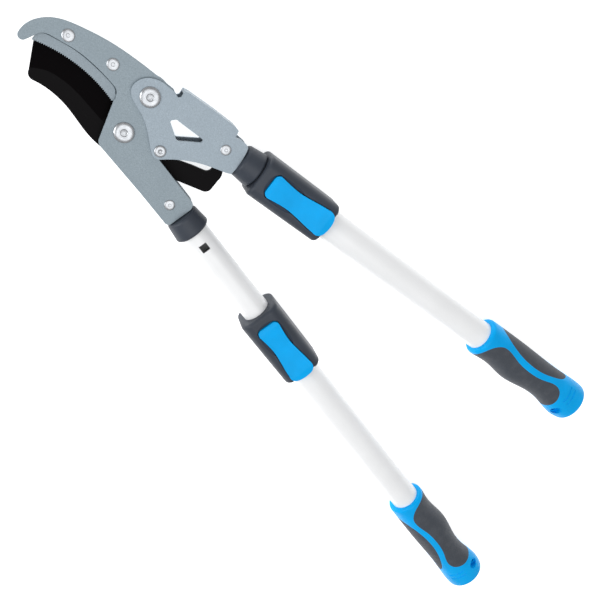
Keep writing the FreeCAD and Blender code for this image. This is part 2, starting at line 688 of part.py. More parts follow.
def make_inner_tubes():
    """Both inner tubes with their lock holes, and the guide that closes each one's far end."""
    outer = "(sizes.tube_r - sizes.tube_wall - sizes.slide_gap)"
    inner_r = size("tube_r") - size("tube_wall") - size("slide_gap")
    shoe_r = size("tube_r") - size("tube_wall") - size("pin_fit")
    for side in ("left", "right"):
        collar_end = size(side + "_collar_x") + size("collar_len")
        start = collar_end - size("socket_depth")
        first_hole = collar_end + size("clamp_gap") + size("lock_tooth_x")
        holes = [first_hole + step * size("lock_step") for step in range(int(size("lock_steps")) + 1)]
        make_tube(side + "_inner_tube", side, start, "sizes.inner_tube_len", outer, holes)
        end = start + size("inner_tube_len")
        spigot_r = inner_r - size("tube_wall") - GLUE_GAP
        shoe_end = end + size("guide_len")
        profile = Outline(end - 14, 0).line((end - 14, spigot_r), (end, spigot_r), (end, shoe_r))
        profile.line((shoe_end - 1.5, shoe_r), (shoe_end, shoe_r - 1.5), (shoe_end, 0))
        body = new_body(side + "_tube_guide")
        turn(body, profile.close(), "H_Axis")
        finish_node(body, side + "_tube_guide", side)


def lever_outline(gap=0.0, open_ended=False):
    """A lock lever seen from above: a square lock end, a waist and a broad round thumb end.

    The well that it lies in is the same outline with a gap all round, open past the thumb end.
    """
    start, length = size("lever_x") - gap, size("lever_len") + 2 * gap
    head, waist, thumb = (size(name) + gap for name in ("head_half", "waist_half", "thumb_half"))
    end = start + length
    corner = 4.5
    sides = [(0.19, 0.45 * head + 0.55 * waist), (0.36, waist), (0.62, 0.5 * (waist + thumb)), (0.84, thumb)]
    outline = Outline(start, corner - head).arc((start + 1.3, 1.3 - head), (start + corner, -head))
    outline.curve(*[(start + share * length, -half) for share, half in sides])
    if open_ended:
        far = size("clamp_len") + 5.0
        outline.line((far, -thumb), (far, thumb), (start + sides[-1][0] * length, thumb))
    else:
        outline.arc((end - 3.0, 1.8 - thumb), (end - 1.0, 5.0 - thumb))
        outline.arc((end, 0), (end - 1.0, thumb - 5.0))
        outline.arc((end - 3.0, thumb - 1.8), (start + sides[-1][0] * length, thumb))
    outline.curve(*[(start + share * length, half) for share, half in sides[-2::-1]], (start + corner, head))
    return outline.arc((start + 1.3, head - 1.3), (start, head - corner)).close()


def rounded_box(half_width, half_height, corner):
    """A rectangle about the origin with round corners."""
    flat, rise = half_width - corner, half_height - corner
    bow = corner * math.sqrt(0.5)
    outline = Outline(-flat, -half_height).line((flat, -half_height))
    outline.arc((flat + bow, -rise - bow), (half_width, -rise)).line((half_width, rise))
    outline.arc((flat + bow, rise + bow), (flat, half_height)).line((-flat, half_height))
    outline.arc((-flat - bow, rise + bow), (-half_width, rise)).line((-half_width, -rise))
    return outline.close_arc((-flat - bow, -rise - bow))


def is_rim(edge):
    """Whether an edge lies square across the handle."""
    return edge.BoundBox.XLength < 0.01


def make_clamp(side):
    """A clamp housing: guide on the inner tube, seat of the outer tube, and the lock lever's well."""
    tube_r = size("tube_r")
    body = new_body(side + "_clamp")
    section = rounded_box(tube_r + size("clamp_wall"), tube_r + size("clamp_roof"), size("clamp_corner"))
    pad(body, draw(body, "YZ_Plane", section), "sizes.clamp_len")
    doc.recompute()
    housing = body.Tip
    rims = [f"Edge{index}" for index, edge in enumerate(body.Shape.Edges, start=1) if is_rim(edge)]
    rounding = body.newObject("PartDesign::Fillet", side + "_clamp_rims")
    rounding.Base = (housing, rims)
    rounding.Radius = CLAMP_ROUND
    guide = "sizes.tube_r - sizes.tube_wall - sizes.slide_gap + sizes.pin_fit"
    cut_both_ways(body, draw_round(body, "YZ_Plane", 0, 0, guide))
    seat = draw_round(body, "YZ_Plane", 0, 0, f"sizes.tube_r + {GLUE_GAP}", "sizes.mouth_len")
    cut_from(body, seat, "sizes.clamp_len", upwards=True)
    well_shape = lever_outline(size("lever_gap"), open_ended=True)
    well = draw(body, "XY_Plane", well_shape, "sizes.tube_r + sizes.floor_rise")
    cut_from(body, well, "sizes.clamp_roof", upwards=True)
    half = size("lock_tooth") / 2 + 1.0
    centre = size("lock_tooth_x")
    window = draw(body, "XY_Plane", box_outline(centre - half, centre + half, -half, half))
    cut_from(body, window, "sizes.tube_r + sizes.clamp_roof", upwards=True)
    hinge_z = tube_r + size("hinge_rise")
    hole = draw_round(body, "XZ_Plane", size("hinge_x"), hinge_z, "sizes.hinge_pin_r")
    drilled = cut_both_ways(body, hole)
    bind(drilled, Length=HINGE_LEN)
    finish_node(body, side + "_clamp", side + "_slider")


def make_lock_lever(side):
    """The lock lever: a waisted rocker whose thumb end stands a little higher than its lock end."""
    tube_r = size("tube_r")
    under, start = tube_r + LEVER_UNDER, size("lever_x")
    end = start + size("lever_len")
    hinge_x = size("hinge_x")
    body = new_body(side + "_lock_lever")
    pad(body, draw(body, "XY_Plane", lever_outline(), "sizes.tube_r"), "sizes.clamp_roof + 6")
    high = tube_r + 12.0
    above = Outline(start - 1, tube_r + 4.9).line((start + 4, tube_r + 6.3))
    above.curve((hinge_x - 8, tube_r + 5.9), (hinge_x + 8, tube_r + 6.2), (end - 6, tube_r + 7.7))
    above.line((end + 1, tube_r + 7.2), (end + 1, high), (start - 1, high))
    cut_both_ways(body, draw(body, "XZ_Plane", above.close()))
    below = polygon((start - 1, tube_r - 1), (end + 1, tube_r - 1), (end + 1, tube_r + LEVER_UNDER_END),
                    (hinge_x + 3, under), (start - 1, under))
    cut_both_ways(body, draw(body, "XZ_Plane", below))
    cut_both_ways(body, draw_round(body, "XZ_Plane", hinge_x, tube_r + size("hinge_rise"),
                                   "sizes.hinge_pin_r + sizes.pin_fit"))
    half, centre = size("lock_tooth") / 2, size("lock_tooth_x")
    seat = draw(body, "XY_Plane", box_outline(centre - half, centre + half, -half, half))
    cut_from(body, seat, f"sizes.tube_r + {TOOTH_SEAT}", upwards=True)
    finish_node(body, side + "_lock_lever", side + "_slider")


def make_lock_parts(side):
    """What a lock lever works with: its square tooth, its hinge pin and its return spring."""
    tube_r, place = size("tube_r"), side + "_slider"
    half, centre = size("lock_tooth") / 2, size("lock_tooth_x")
    tooth = new_body(side + "_lock_tooth")
    square = draw(tooth, "XY_Plane", box_outline(centre - half, centre + half, -half, half),
                  "sizes.tube_r - sizes.tube_wall")
    pad(tooth, square, f"sizes.tube_wall + {TOOTH_SEAT}")
    finish_node(tooth, side + "_lock_tooth", place)
    pin = new_body(side + "_hinge_pin")
    ring = draw_round(pin, "XZ_Plane", size("hinge_x"), tube_r + size("hinge_rise"), "sizes.hinge_pin_r")
    pad(pin, ring, HINGE_LEN, symmetric=True)
    finish_node(pin, side + "_hinge_pin", place)
    spring = new_body(side + "_lock_spring")
    foot, crown = tube_r + size("floor_rise"), tube_r + SPRING_CROWN
    middle, half, sheet_t = size("spring_x"), size("spring_len") / 2, size("spring_t")
    bow = Outline(middle - half, foot).arc((middle, crown), (middle + half, foot))
    bow.line((middle + half - 2 * sheet_t, foot))
    bow.arc((middle, crown - sheet_t), (middle - half + 2 * sheet_t, foot))
    pad(spring, draw(spring, "XZ_Plane", bow.close()), "sizes.spring_width", symmetric=True)
    finish_node(spring, side + "_lock_spring", place)


def make_outer_tube(side):
    """The outer tube, from its seat in the clamp to its seat in the grip."""
    length = "sizes.clamp_len - sizes.mouth_len + sizes.outer_tube_bare + sizes.grip_bore_len"
    body = new_body(side + "_outer_tube")
    pad(body, draw_round(body, "YZ_Plane", 0, 0, "sizes.tube_r", "sizes.mouth_len"), length)
    cut_both_ways(body, draw_round(body, "YZ_Plane", 0, 0, "sizes.tube_r - sizes.tube_wall"))
    finish_node(body, side + "_outer_tube", side + "_slider")


# a grip's stations: share of its length, then how far its inner side, outer side and top stand off the tube
GRIP_STATIONS = [
    (0.0, 4.2, 5.3, 4.0),
    (0.08, 4.3, 5.6, 4.2),
    (0.2, 3.8, 5.8, 3.7),
    (0.365, 6.5, 5.9, 4.1),
    (0.58, 3.2, 5.4, 3.1),
    (0.76, 4.4, 5.8, 3.5),
    (0.92, 8.2, 6.8, 4.6),
    (1.0, 6.6, 5.6, 4.0),
]

# the rib between the pads, from the rim to the grip's end: share of the length, and how far inwards
INNER_PAD_EDGE = [
    (0.032, 16.0), (0.036, 9.4), (0.053, 2.2), (0.087, -3.3), (0.13, -6.6), (0.175, -7.2), (0.23, -6.0),
    (0.3, -3.4), (0.39, -1.8), (0.49, -1.8), (0.575, -3.5), (0.65, -6.2), (0.71, -6.6), (0.75, -4.0),
    (0.775, 1.0), (0.79, 7.0), (0.795, 13.0), (0.792, 18.0),
]
OUTER_PAD_EDGE = [
    (0.1, -20.0), (0.155, -16.2), (0.22, -13.0), (0.295, -10.3), (0.37, -8.8), (0.46, -8.3), (0.57, -9.8),
    (0.66, -12.8), (0.73, -16.0), (0.775, -20.0),
]


def grip_form(name, inward, inset):
    """A loft through the grip's stations, inset all round, with its inner side towards +Y or -Y."""
    start = size("clamp_len") + size("outer_tube_bare")
    rings = []
    for index, (share, inner, outer, top) in enumerate(GRIP_STATIONS):
        ring = doc.addObject("Part::Ellipse", f"{name}_ring_{index}")
        ring.MajorRadius = size("tube_r") + (inner + outer) / 2 - inset
        ring.MinorRadius = size("tube_r") + top - inset
        across = inward * (inner - outer) / 2
        ring.Placement = Placement(
            Vector(start + share * size("grip_len"), across, 0), Rotation(90, 0, 90)
        )
        rings.append(ring)
    form = doc.addObject("Part::Loft", name)
    form.Sections = rings
    form.Solid = True
    return form


def pad_region(name, edge, inward, outside):
    """The space on one side of a pad's edge line, right through the grip."""
    start, length = size("clamp_len") + size("outer_tube_bare"), size("grip_len")
    points = [(start + share * length, inward * across) for share, across in edge]
    outline = Outline(*points[0]).curve(*points[1:])
    outline.line((points[-1][0], inward * outside), (points[0][0], inward * outside))
    body = new_body(name)
    pad(body, draw(body, "XY_Plane", outline.close()), "8 * sizes.tube_r", symmetric=True)
    return body


def common(name, first, second):
    """What two shapes share."""
    thing = doc.addObject("Part::Common", name)
    thing.Base, thing.Tool = first, second
    return thing


def cut(name, base, tool):
    """A shape less another."""
    thing = doc.addObject("Part::Cut", name)
    thing.Base, thing.Tool = base, tool
    return thing


def end_rounding(name, form):
    """Round a grip's rim and its far end."""
    doc.recompute()
    start = size("clamp_len") + size("outer_tube_bare")
    rounded = doc.addObject("Part::Fillet", name)
    rounded.Base = form
    edges = []
    for index, edge in enumerate(form.Shape.Edges, start=1):
        if is_rim(edge):
            at_rim = abs(edge.BoundBox.Center.x - start) < 0.1
            radius = size("grip_rim_round" if at_rim else "grip_end_round")
            edges.append((index, radius, radius))
    rounded.Edges = edges
    return rounded


def make_grip(side):
    """A grip: a hard core with a rim, a winding rib and a butt, and the two rubber pads set into it."""
    inward = 1 if side == "left" else -1
    place = side + "_slider"
    start, length = size("clamp_len") + size("outer_tube_bare"), size("grip_len")
    form = end_rounding(side + "_grip_form", grip_form(side + "_grip_loft", inward, 0.0))
    inside = grip_form(side + "_grip_inside", inward, size("pad_t"))
    shell = cut(side + "_grip_shell", form, inside)
    inner_side = pad_region(side + "_inner_side", INNER_PAD_EDGE, inward, BEYOND_GRIP)
    outer_side = pad_region(side + "_outer_side", OUTER_PAD_EDGE, inward, -BEYOND_GRIP)
    inner = common(side + "_inner_pad_form", shell, inner_side)
    outer = common(side + "_outer_pad_form", shell, outer_side)
    bored = cut(side + "_grip_bored", form, grip_tools(side, inward, start, length))
    without_inner = cut(side + "_grip_without_inner", bored, inner)
    core = cut(side + "_grip_core", without_inner, outer)
    finish_node(core, side + "_grip_core", place)
    for label, pad_form in ((side + "_inner_pad", inner), (side + "_outer_pad", outer)):
        node = doc.addObject("Part::Compound", label)
        node.Links = [pad_form]
        finish_node(node, label, place)


def grip_tools(side, inward, start, length):
    """What is cut from a grip: the tube's bore, and the hang hole with its recesses."""
    bore = bind(doc.addObject("Part::Cylinder", side + "_grip_bore"),
                Radius=f"sizes.tube_r + {GLUE_GAP}", Height="sizes.grip_bore_len + 10")
    bore.Placement = Placement(Vector(start - 10, 0, 0), Rotation(Vector(0, 1, 0), 90))
    hang_x = start + length - size("hang_hole_end")
    hang_y = inward * (size("tube_r") + 0.4)
    hole = bind(doc.addObject("Part::Cylinder", side + "_hang_hole"), Radius="sizes.hang_hole_r")
    hole.Height = THROUGH
    hole.Placement = place_at(hang_x, hang_y, -THROUGH / 2)
    tools = [bore, hole]
    for name, low in (("front", size("hang_recess")), ("back", -size("hang_recess") - THROUGH)):
        recess = doc.addObject("Part::Cylinder", f"{side}_hang_recess_{name}")
        recess.Radius = HANG_RECESS_R
        recess.Height = THROUGH
        recess.Placement = place_at(hang_x, hang_y, low)
        tools.append(recess)
    group = doc.addObject("Part::MultiFuse", side + "_grip_tools")
    group.Shapes = tools
    return group


def make_pieces():
    """Build every sub-part."""
    for make in (make_hook_plate, make_frame_plate, make_serrated_insert, make_blade, make_lever_channel,
                 make_pivots, make_jaw_rivets, make_sockets, make_inner_tubes):
        make()
    for side in ("left", "right"):
        for make in (make_clamp, make_lock_lever, make_lock_parts, make_outer_tube, make_grip):
            make(side)
    doc.recompute()


def move_origin():
    """Shift everything, so that the origin is the footprint's centre at the lowest point."""
    box = Part.makeCompound([thing.Shape for thing in nodes.values()]).optimalBoundingBox(False, False)
    places = {"origin_x": -box.Center.x, "origin_y": -box.Center.y, "origin_z": -box.ZMin}
    for alias, value in places.items():
        sheet.set(alias, str(round(value, 3)))
    doc.recompute()
    print("origin", {alias: size(alias) for alias in places}, "box", box)


def check_everything():
    """Stop if any object failed or any sub-part is empty, invalid or without a solid."""
    for thing in doc.Objects:
        if "Invalid" in thing.State or "Error" in thing.State:
            raise RuntimeError(f"{thing.Name} failed: {thing.State}")
    for label, thing in nodes.items():
        shape = thing.Shape
        if shape.isNull() or not shape.isValid() or not shape.Solids or shape.Volume <= 0:
            raise RuntimeError(f"{label} has no sound shape")


def write_steps():
    """Write each sub-part to a STEP file of its own name."""
    os.makedirs("parts", exist_ok=True)
    for label, thing in nodes.items():
        thing.Shape.exportStep(f"parts/{label}.step")
        print(f"{label}: {len(thing.Shape.Solids)} solid, {thing.Shape.Volume:.0f} mm3")


make_pieces()
move_origin()
check_everything()
write_steps()
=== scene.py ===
"""Looks of a pair of bypass loppers with telescopic handles.

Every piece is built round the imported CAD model, in its frame and in metres. Plates, clamps, grips and
the other cut, folded or moulded pieces are copies of the CAD pieces, with their edges rounded and their
fine work cut in. Bolts, rivets and screws are turned here from profiles. The sub-assemblies are
classes, built in order by main().
"""

import json
import logging
import math
from dataclasses import dataclass, field
from enum import Enum
from typing import Iterable, Sequence

import bmesh
import bpy
import numpy as np
from mathutils import Matrix, Vector
from mathutils.bvhtree import BVHTree

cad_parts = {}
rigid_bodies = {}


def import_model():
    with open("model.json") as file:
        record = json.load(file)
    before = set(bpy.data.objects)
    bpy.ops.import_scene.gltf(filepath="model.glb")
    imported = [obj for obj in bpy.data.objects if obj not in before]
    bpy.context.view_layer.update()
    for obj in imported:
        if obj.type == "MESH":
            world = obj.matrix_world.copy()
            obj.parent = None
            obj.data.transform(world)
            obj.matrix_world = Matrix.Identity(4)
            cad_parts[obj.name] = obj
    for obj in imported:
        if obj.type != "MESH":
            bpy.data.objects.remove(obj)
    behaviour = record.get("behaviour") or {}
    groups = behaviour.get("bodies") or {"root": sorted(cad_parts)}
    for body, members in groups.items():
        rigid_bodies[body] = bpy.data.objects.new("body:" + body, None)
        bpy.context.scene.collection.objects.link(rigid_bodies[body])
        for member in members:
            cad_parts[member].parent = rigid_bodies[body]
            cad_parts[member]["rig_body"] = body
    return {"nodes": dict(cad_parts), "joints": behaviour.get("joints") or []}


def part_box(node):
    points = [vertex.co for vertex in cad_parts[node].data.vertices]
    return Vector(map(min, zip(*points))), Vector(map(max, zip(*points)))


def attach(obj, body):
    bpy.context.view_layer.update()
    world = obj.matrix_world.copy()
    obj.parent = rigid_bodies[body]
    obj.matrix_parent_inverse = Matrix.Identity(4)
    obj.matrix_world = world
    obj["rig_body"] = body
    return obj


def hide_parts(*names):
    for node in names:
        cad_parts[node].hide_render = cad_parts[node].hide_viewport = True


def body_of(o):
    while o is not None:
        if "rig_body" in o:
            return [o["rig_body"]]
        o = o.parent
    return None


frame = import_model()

log = logging.getLogger("loppers")

MM = 0.001
"""One millimetre, in metres."""

Colour = tuple[int, int, int]
Point = tuple[float, float]
Span = tuple[float, float]
Triple = tuple[float, float, float]
Rgba = tuple[float, float, float, float]
Socket = bpy.types.NodeSocket


class Side(Enum):
    """The fixed handle, whose inner side is +Y, and the lever handle, whose inner side is -Y."""

    LEFT = "left"
    RIGHT = "right"

    @property
    def inward(self) -> int:
        """Which way the grip's inner side lies across the handle."""
        return 1 if self is Side.LEFT else -1


# ---------------------------------------------------------------- finishes


WHITE: Rgba = (1.0, 1.0, 1.0, 1.0)
"""Full white, as linear RGBA."""

MOST = (0.3, 0.7)
"""The values that most of a noise lies between."""

UPPER = (0.35, 0.7)
"""The same span, less the darkest clouds."""

PEBBLE = (0.1, 0.6)
"""The distances that most of a pattern of cells lies between, as shares of its grain."""


class Graph:
    """A material's node tree, with short calls for what the finishes share."""

    def __init__(self, name: str) -> None:
        """Start a material that has only its shader.

        Args:
            name: the material's name.
        """
        self.material = bpy.data.materials.new(name)
        self.material.use_nodes = True
        self.tree = self.material.node_tree
        self.shader = self.tree.nodes["Principled BSDF"]

    def node(self, kind: str, inputs: dict | None = None, **settings: object) -> bpy.types.Node:
        """Add a node, set its properties and join or set its inputs.

        Args:
            kind: the node's type name.
            inputs: values or output sockets, by input name or number.
            **settings: the node's own properties.

        Returns:
            The new node.
        """
        made = self.tree.nodes.new(kind)
        for name, value in settings.items():
            setattr(made, name, value)
        for key, value in (inputs or {}).items():
            if isinstance(value, Socket):
                self.tree.links.new(value, made.inputs[key])
            else:
                made.inputs[key].default_value = value
        return made

    def place(self, stretch: Triple = (1, 1, 1), turn: float = 0.0) -> Socket:
        """Object coordinates, scaled along the object's axes and then turned about Z.

        Args:
            stretch: the scale along each axis. A noise's clouds are drawn out where it is below 1.
            turn: the turn, in radians. It brings another part of a noise onto the piece.

        Returns:
            The coordinates.
        """
        coords = self.node("ShaderNodeTexCoord").outputs["Object"]
        inputs = {"Vector": coords, "Rotation": (0, 0, -turn), "Scale": tuple(stretch)}
        return self.node("ShaderNodeMapping", inputs).outputs[0]

    def noise(self, place: Socket, grain: float, detail: float = 2.0, roughness: float = 0.5) -> Socket:
        """Cloudy noise.

        Args:
            place: the coordinates to read it at.
            grain: how far across its clouds are, in millimetres.
            detail: how many finer layers it has.
            roughness: how strong each finer layer is against the one before.

        Returns:
            The noise's value.
        """
        inputs = {"Vector": place, "Scale": 1 / (grain * MM), "Detail": detail, "Roughness": roughness}
        return self.node("ShaderNodeTexNoise", inputs).outputs[0]

    def cells(self, place: Socket, grain: float) -> Socket:
        """Distance to the nearest of many points about `grain` millimetres apart."""
        return self.node("ShaderNodeTexVoronoi", {"Vector": place, "Scale": 1 / (grain * MM)}).outputs[0]

    def remap(self, value: Socket, low: float, high: float, to_low: float, to_high: float) -> Socket:
        """Carry a range of values to another range, clamped at its ends.

        Args:
            value: the value to carry.
            low: the value that becomes to_low.
            high: the value that becomes to_high.
            to_low: the new range's start.
            to_high: the new range's end.

        Returns:
            The carried value.
        """
        inputs = {"Value": value, "From Min": low, "From Max": high, "To Min": to_low, "To Max": to_high}
        return self.node("ShaderNodeMapRange", inputs).outputs[0]

    def mix(self, share: Socket, first: Socket | Rgba, second: Socket | Rgba) -> Socket:
        """Mix two colours, given as linear RGBA or as sockets."""
        inputs = {0: share, 6: first, 7: second}
        return self.node("ShaderNodeMix", inputs, data_type="RGBA").outputs[2]

    def tones(self, value: Socket, span: Span, colour: Colour, shares: Span) -> Socket:
        """Run from one tone of a colour to another as a value crosses a span.

        Args:
            value: the pattern's value.
            span: the values where the run starts and ends.
            colour: the colour.
            shares: how light each tone is, against the colour.

        Returns:
            The colour at each place.
        """
        first, second = (linear(colour, share) for share in shares)
        return self.mix(self.remap(value, *span, 0, 1), first, second)

    def marks(self, value: Socket, span: Span, strength: float, under: Socket | Rgba,
              over: Socket | Rgba) -> Socket:
        """Lay marks over a colour where a pattern's value is high.

        Args:
            value: the pattern's value.
            span: the values where the marks start and where they are strongest.
            strength: the marks' share at their strongest.
            under: the colour below.
            over: the marks' colour.

        Returns:
            The colour at each place.
        """
        return self.mix(self.remap(value, *span, 0, strength), under, over)

    def rough(self, value: Socket, span: Span, middle: float, spread: Span) -> Socket:
        """Run a roughness round its middle as a value crosses a span.

        Args:
            value: the pattern's value.
            span: the values where the run starts and ends.
            middle: the finish's own roughness.
            spread: what is added to it at each end of the run.

        Returns:
            The roughness at each place.
        """
        return self.remap(value, *span, middle + spread[0], middle + spread[1])

    def bump(self, height: Socket, depth: float, under: Socket | None = None) -> Socket:
        """A bumped normal.

        Args:
            height: the bumps' height, from 0 to 1.
            depth: how deep the bumps are, in millimetres.
            under: a normal to lay them over, or None.

        Returns:
            The normal.
        """
        inputs = {"Height": height, "Distance": depth * MM, "Strength": 1.0}
        if under is not None:
            inputs["Normal"] = under
        return self.node("ShaderNodeBump", inputs).outputs[0]

    def finish(self, colour: Socket, roughness: Socket, normal: Socket | None = None,
               **constants: float | Rgba) -> bpy.types.Material:
        """Join colour, roughness and normal to the shader, and set its constants.

        Args:
            colour: a colour socket.
            roughness: a value socket.
            normal: a normal socket, or None for an even surface.
            **constants: the shader's plain numbers, by input name with spaces as underscores.

        Returns:
            The finished material.
        """
        self.tree.links.new(colour, self.shader.inputs["Base Color"])
        self.tree.links.new(roughness, self.shader.inputs["Roughness"])
        if normal is not None:
            self.tree.links.new(normal, self.shader.inputs["Normal"])
        for name, value in constants.items():
            self.shader.inputs[name.replace("_", " ")].default_value = value
        return self.material


def linear(colour: Colour, share: float = 1.0) -> Rgba:
    """A screen colour as linear RGBA.

    The standard curve of screens: a straight line near black, and a power of 2.4 above it.

    Args:
        colour: the colour, with channels from 0 to 255.
        share: how many times as light it is made.

    Returns:
        The colour, with channels from 0 to 1.
    """
    channel = np.array(colour) / 255.0
    light = np.where(channel <= 0.04045, channel / 12.92, ((channel + 0.055) / 1.055) ** 2.4)
    return (*np.clip(light * share, 0, 1).tolist(), 1.0)


@dataclass(frozen=True)
class SatinSteel:
    """Painted steel plate: a fine speckle from blasting, soft clouds, and a few rubbed streaks.

    Grains and depths are in millimetres, here and in the other finishes.
    """

    name: str
    colour: Colour
    metallic: float = 0.3
    roughness: float = 0.42
    speckle_grain: float = 0.9
    cloud_grain: float = 14.0
    streak_grain: float = 1.3
    streak_stretch: Triple = (0.16, 1, 1)
    streak_turn: float = math.radians(30)
    blast_grain: float = 0.35
    blast_depth: float = 0.018

    def material(self) -> bpy.types.Material:
        """Build the finish."""
        graph = Graph(self.name)
        place = graph.place()
        speckle = graph.noise(place, self.speckle_grain, detail=3.0, roughness=0.7)
        clouds = graph.noise(place, self.cloud_grain, detail=4.0)
        streaks = graph.noise(graph.place(self.streak_stretch, self.streak_turn), self.streak_grain)
        base = graph.tones(speckle, MOST, self.colour, (0.78, 1.2))
        cloudy = graph.marks(clouds, UPPER, 0.3, base, linear(self.colour, 1.25))
        rubbed = graph.marks(streaks, (0.68, 0.78), 0.35, cloudy, linear(self.colour, 1.5))
        rough = graph.rough(clouds, MOST, self.roughness, (-0.05, 0.07))
        normal = graph.bump(graph.noise(place, self.blast_grain), self.blast_depth)
        return graph.finish(rubbed, rough, normal, Metallic=self.metallic)


@dataclass(frozen=True)
class BlackCoat:
    """Low-friction black coating, a little worn along the stroke, with painted shade that darkens the
    ground face.

    The painted shade follows the slope of each face's own plane, so the tilted ground face takes it:
    `flat` gives the upright part of a face's normal where the flat tone ends and where the painted shade
    is full.
    """

    name: str
    colour: Colour = (21, 20, 21)
    # ground is painted shade: the colour that faces tilted from upright, such as the ground face, take.
    ground: Colour = (6, 4, 5)
    bare: Colour = (70, 72, 76)
    roughness: float = 0.4
    shine: float = 0.02
    flat: Span = (0.9985, 0.9965)
    speckle_grain: float = 0.4
    speckle_depth: float = 0.012
    wear_grain: float = 1.0
    wear_stretch: Triple = (0.12, 1, 1)
    wear_turn: float = math.radians(12)

    def material(self) -> bpy.types.Material:
        """Build the finish."""
        graph = Graph(self.name)
        speckle = graph.noise(graph.place(), self.speckle_grain, roughness=0.6)
        wear = graph.noise(graph.place(self.wear_stretch, self.wear_turn), self.wear_grain, detail=3.0)
        facing = graph.node("ShaderNodeNewGeometry").outputs["True Normal"]
        upright = graph.node("ShaderNodeSeparateXYZ", {0: facing}).outputs[2]
        upright = graph.node("ShaderNodeMath", {0: upright}, operation="ABSOLUTE").outputs[0]
        # Painted shade: faces that tilt from upright take the darker ground colour.
        tone = graph.mix(graph.remap(upright, *self.flat, 0, 1), linear(self.colour), linear(self.ground))
        grained = graph.marks(speckle, (0.45, 0.8), 0.2, tone, linear(self.colour, 1.5))
        worn = graph.marks(wear, (0.68, 0.82), 0.12, grained, linear(self.bare))
        rough = graph.rough(speckle, MOST, self.roughness, (-0.05, 0.08))
        normal = graph.bump(speckle, self.speckle_depth)
        return graph.finish(worn, rough, normal, Specular_IOR_Level=self.shine)


@dataclass(frozen=True)
class BrightSteel:
    """Bare or plated metal, with fine lines along the axis where its stretch is below 1."""

    name: str
    colour: Colour = (205, 208, 212)
    roughness: float = 0.2
    stretch: Triple = (1.0, 1.0, 0.1)
    line_grain: float = 0.25
    line_depth: float = 0.006
    cloud_grain: float = 3.0

    def material(self) -> bpy.types.Material:
        """Build the finish."""
        graph = Graph(self.name)
        lines = graph.noise(graph.place(self.stretch), self.line_grain)
        clouds = graph.noise(graph.place(), self.cloud_grain, detail=3.0)
        base = graph.tones(clouds, UPPER, self.colour, (0.85, 1.05))
        rough = graph.rough(lines, MOST, self.roughness, (-0.06, 0.1))
        return graph.finish(base, rough, graph.bump(lines, self.line_depth), Metallic=1.0)


@dataclass(frozen=True)
class Moulded:
    """Moulded hard plastic: a fine eroded grain, faint flow clouds and light handling marks."""

    name: str
    colour: Colour
    roughness: float = 0.42
    grain: float = 0.45
    depth: float = 0.02
    shine: float = 0.5
    flow_grain: float = 22.0
    mark_grain: float = 2.2
    mark_stretch: Triple = (1, 0.2, 1)
    mark_turn: float = math.radians(25)

    def material(self) -> bpy.types.Material:
        """Build the finish."""
        graph = Graph(self.name)
        place = graph.place()
        flow = graph.noise(place, self.flow_grain, detail=3.0)
        speck = graph.noise(place, self.grain, roughness=0.6)
        marks = graph.noise(graph.place(self.mark_stretch, self.mark_turn), self.mark_grain)
        base = graph.tones(flow, MOST, self.colour, (0.92, 1.06))
        rubbed = graph.marks(marks, (0.68, 0.8), 0.16, base, linear(self.colour, 1.45))
        rough = graph.rough(speck, MOST, self.roughness, (-0.04, 0.08))
        return graph.finish(rubbed, rough, graph.bump(speck, self.depth), Specular_IOR_Level=self.shine)


@dataclass(frozen=True)
class Enamel:
    """White stove enamel on a drawn tube: a slight orange peel, and faint drawn-out streaks."""

    name: str
    colour: Colour = (250, 251, 252)
    roughness: float = 0.32
    peel_grain: float = 1.6
    peel_depth: float = 0.012
    line_grain: float = 0.8
    line_depth: float = 0.004
    line_stretch: Triple = (0.02, 1, 1)
    cloud_grain: float = 30.0

    def material(self) -> bpy.types.Material:
        """Build the finish."""
        graph = Graph(self.name)
        place = graph.place()
        peel = graph.noise(place, self.peel_grain)
        lines = graph.noise(graph.place(self.line_stretch), self.line_grain)
        clouds = graph.noise(place, self.cloud_grain, detail=3.0)
        base = graph.tones(clouds, MOST, self.colour, (0.96, 1.0))
        rough = graph.rough(lines, MOST, self.roughness, (-0.05, 0.06))
        normal = graph.bump(peel, self.peel_depth, graph.bump(lines, self.line_depth))
        return graph.finish(base, rough, normal, IOR=1.5, Coat_Weight=0.25, Coat_Roughness=0.2)


@dataclass(frozen=True)
class Rubber:
    """Soft grip rubber: a fine matt pebble grain, and faint clouds of dust."""

    name: str
    colour: Colour = (64, 69, 77)
    dust: Colour = (150, 152, 156)
    roughness: float = 0.62
    pebble_grain: float = 0.7
    pebble_depth: float = 0.03
    dust_grain: float = 9.0
    skin_grain: float = 0.25
    skin_depth: float = 0.012

    def material(self) -> bpy.types.Material:
        """Build the finish."""
        graph = Graph(self.name)
        place = graph.place()
        pebbles = graph.cells(place, self.pebble_grain)
        dust = graph.noise(place, self.dust_grain, detail=4.0)
        base = graph.tones(pebbles, PEBBLE, self.colour, (0.86, 1.08))
        dusty = graph.marks(dust, (0.45, 0.75), 0.07, base, linear(self.dust))
        rough = graph.rough(pebbles, PEBBLE, self.roughness, (0.06, -0.05))
        skin = graph.bump(graph.noise(place, self.skin_grain), self.skin_depth)
        normal = graph.bump(pebbles, self.pebble_depth, skin)
        return graph.finish(dusty, rough, normal, Specular_IOR_Level=0.35, Sheen_Weight=0.06,
                            Sheen_Roughness=0.5)


Finish = SatinSteel | BlackCoat | BrightSteel | Moulded | Enamel | Rubber


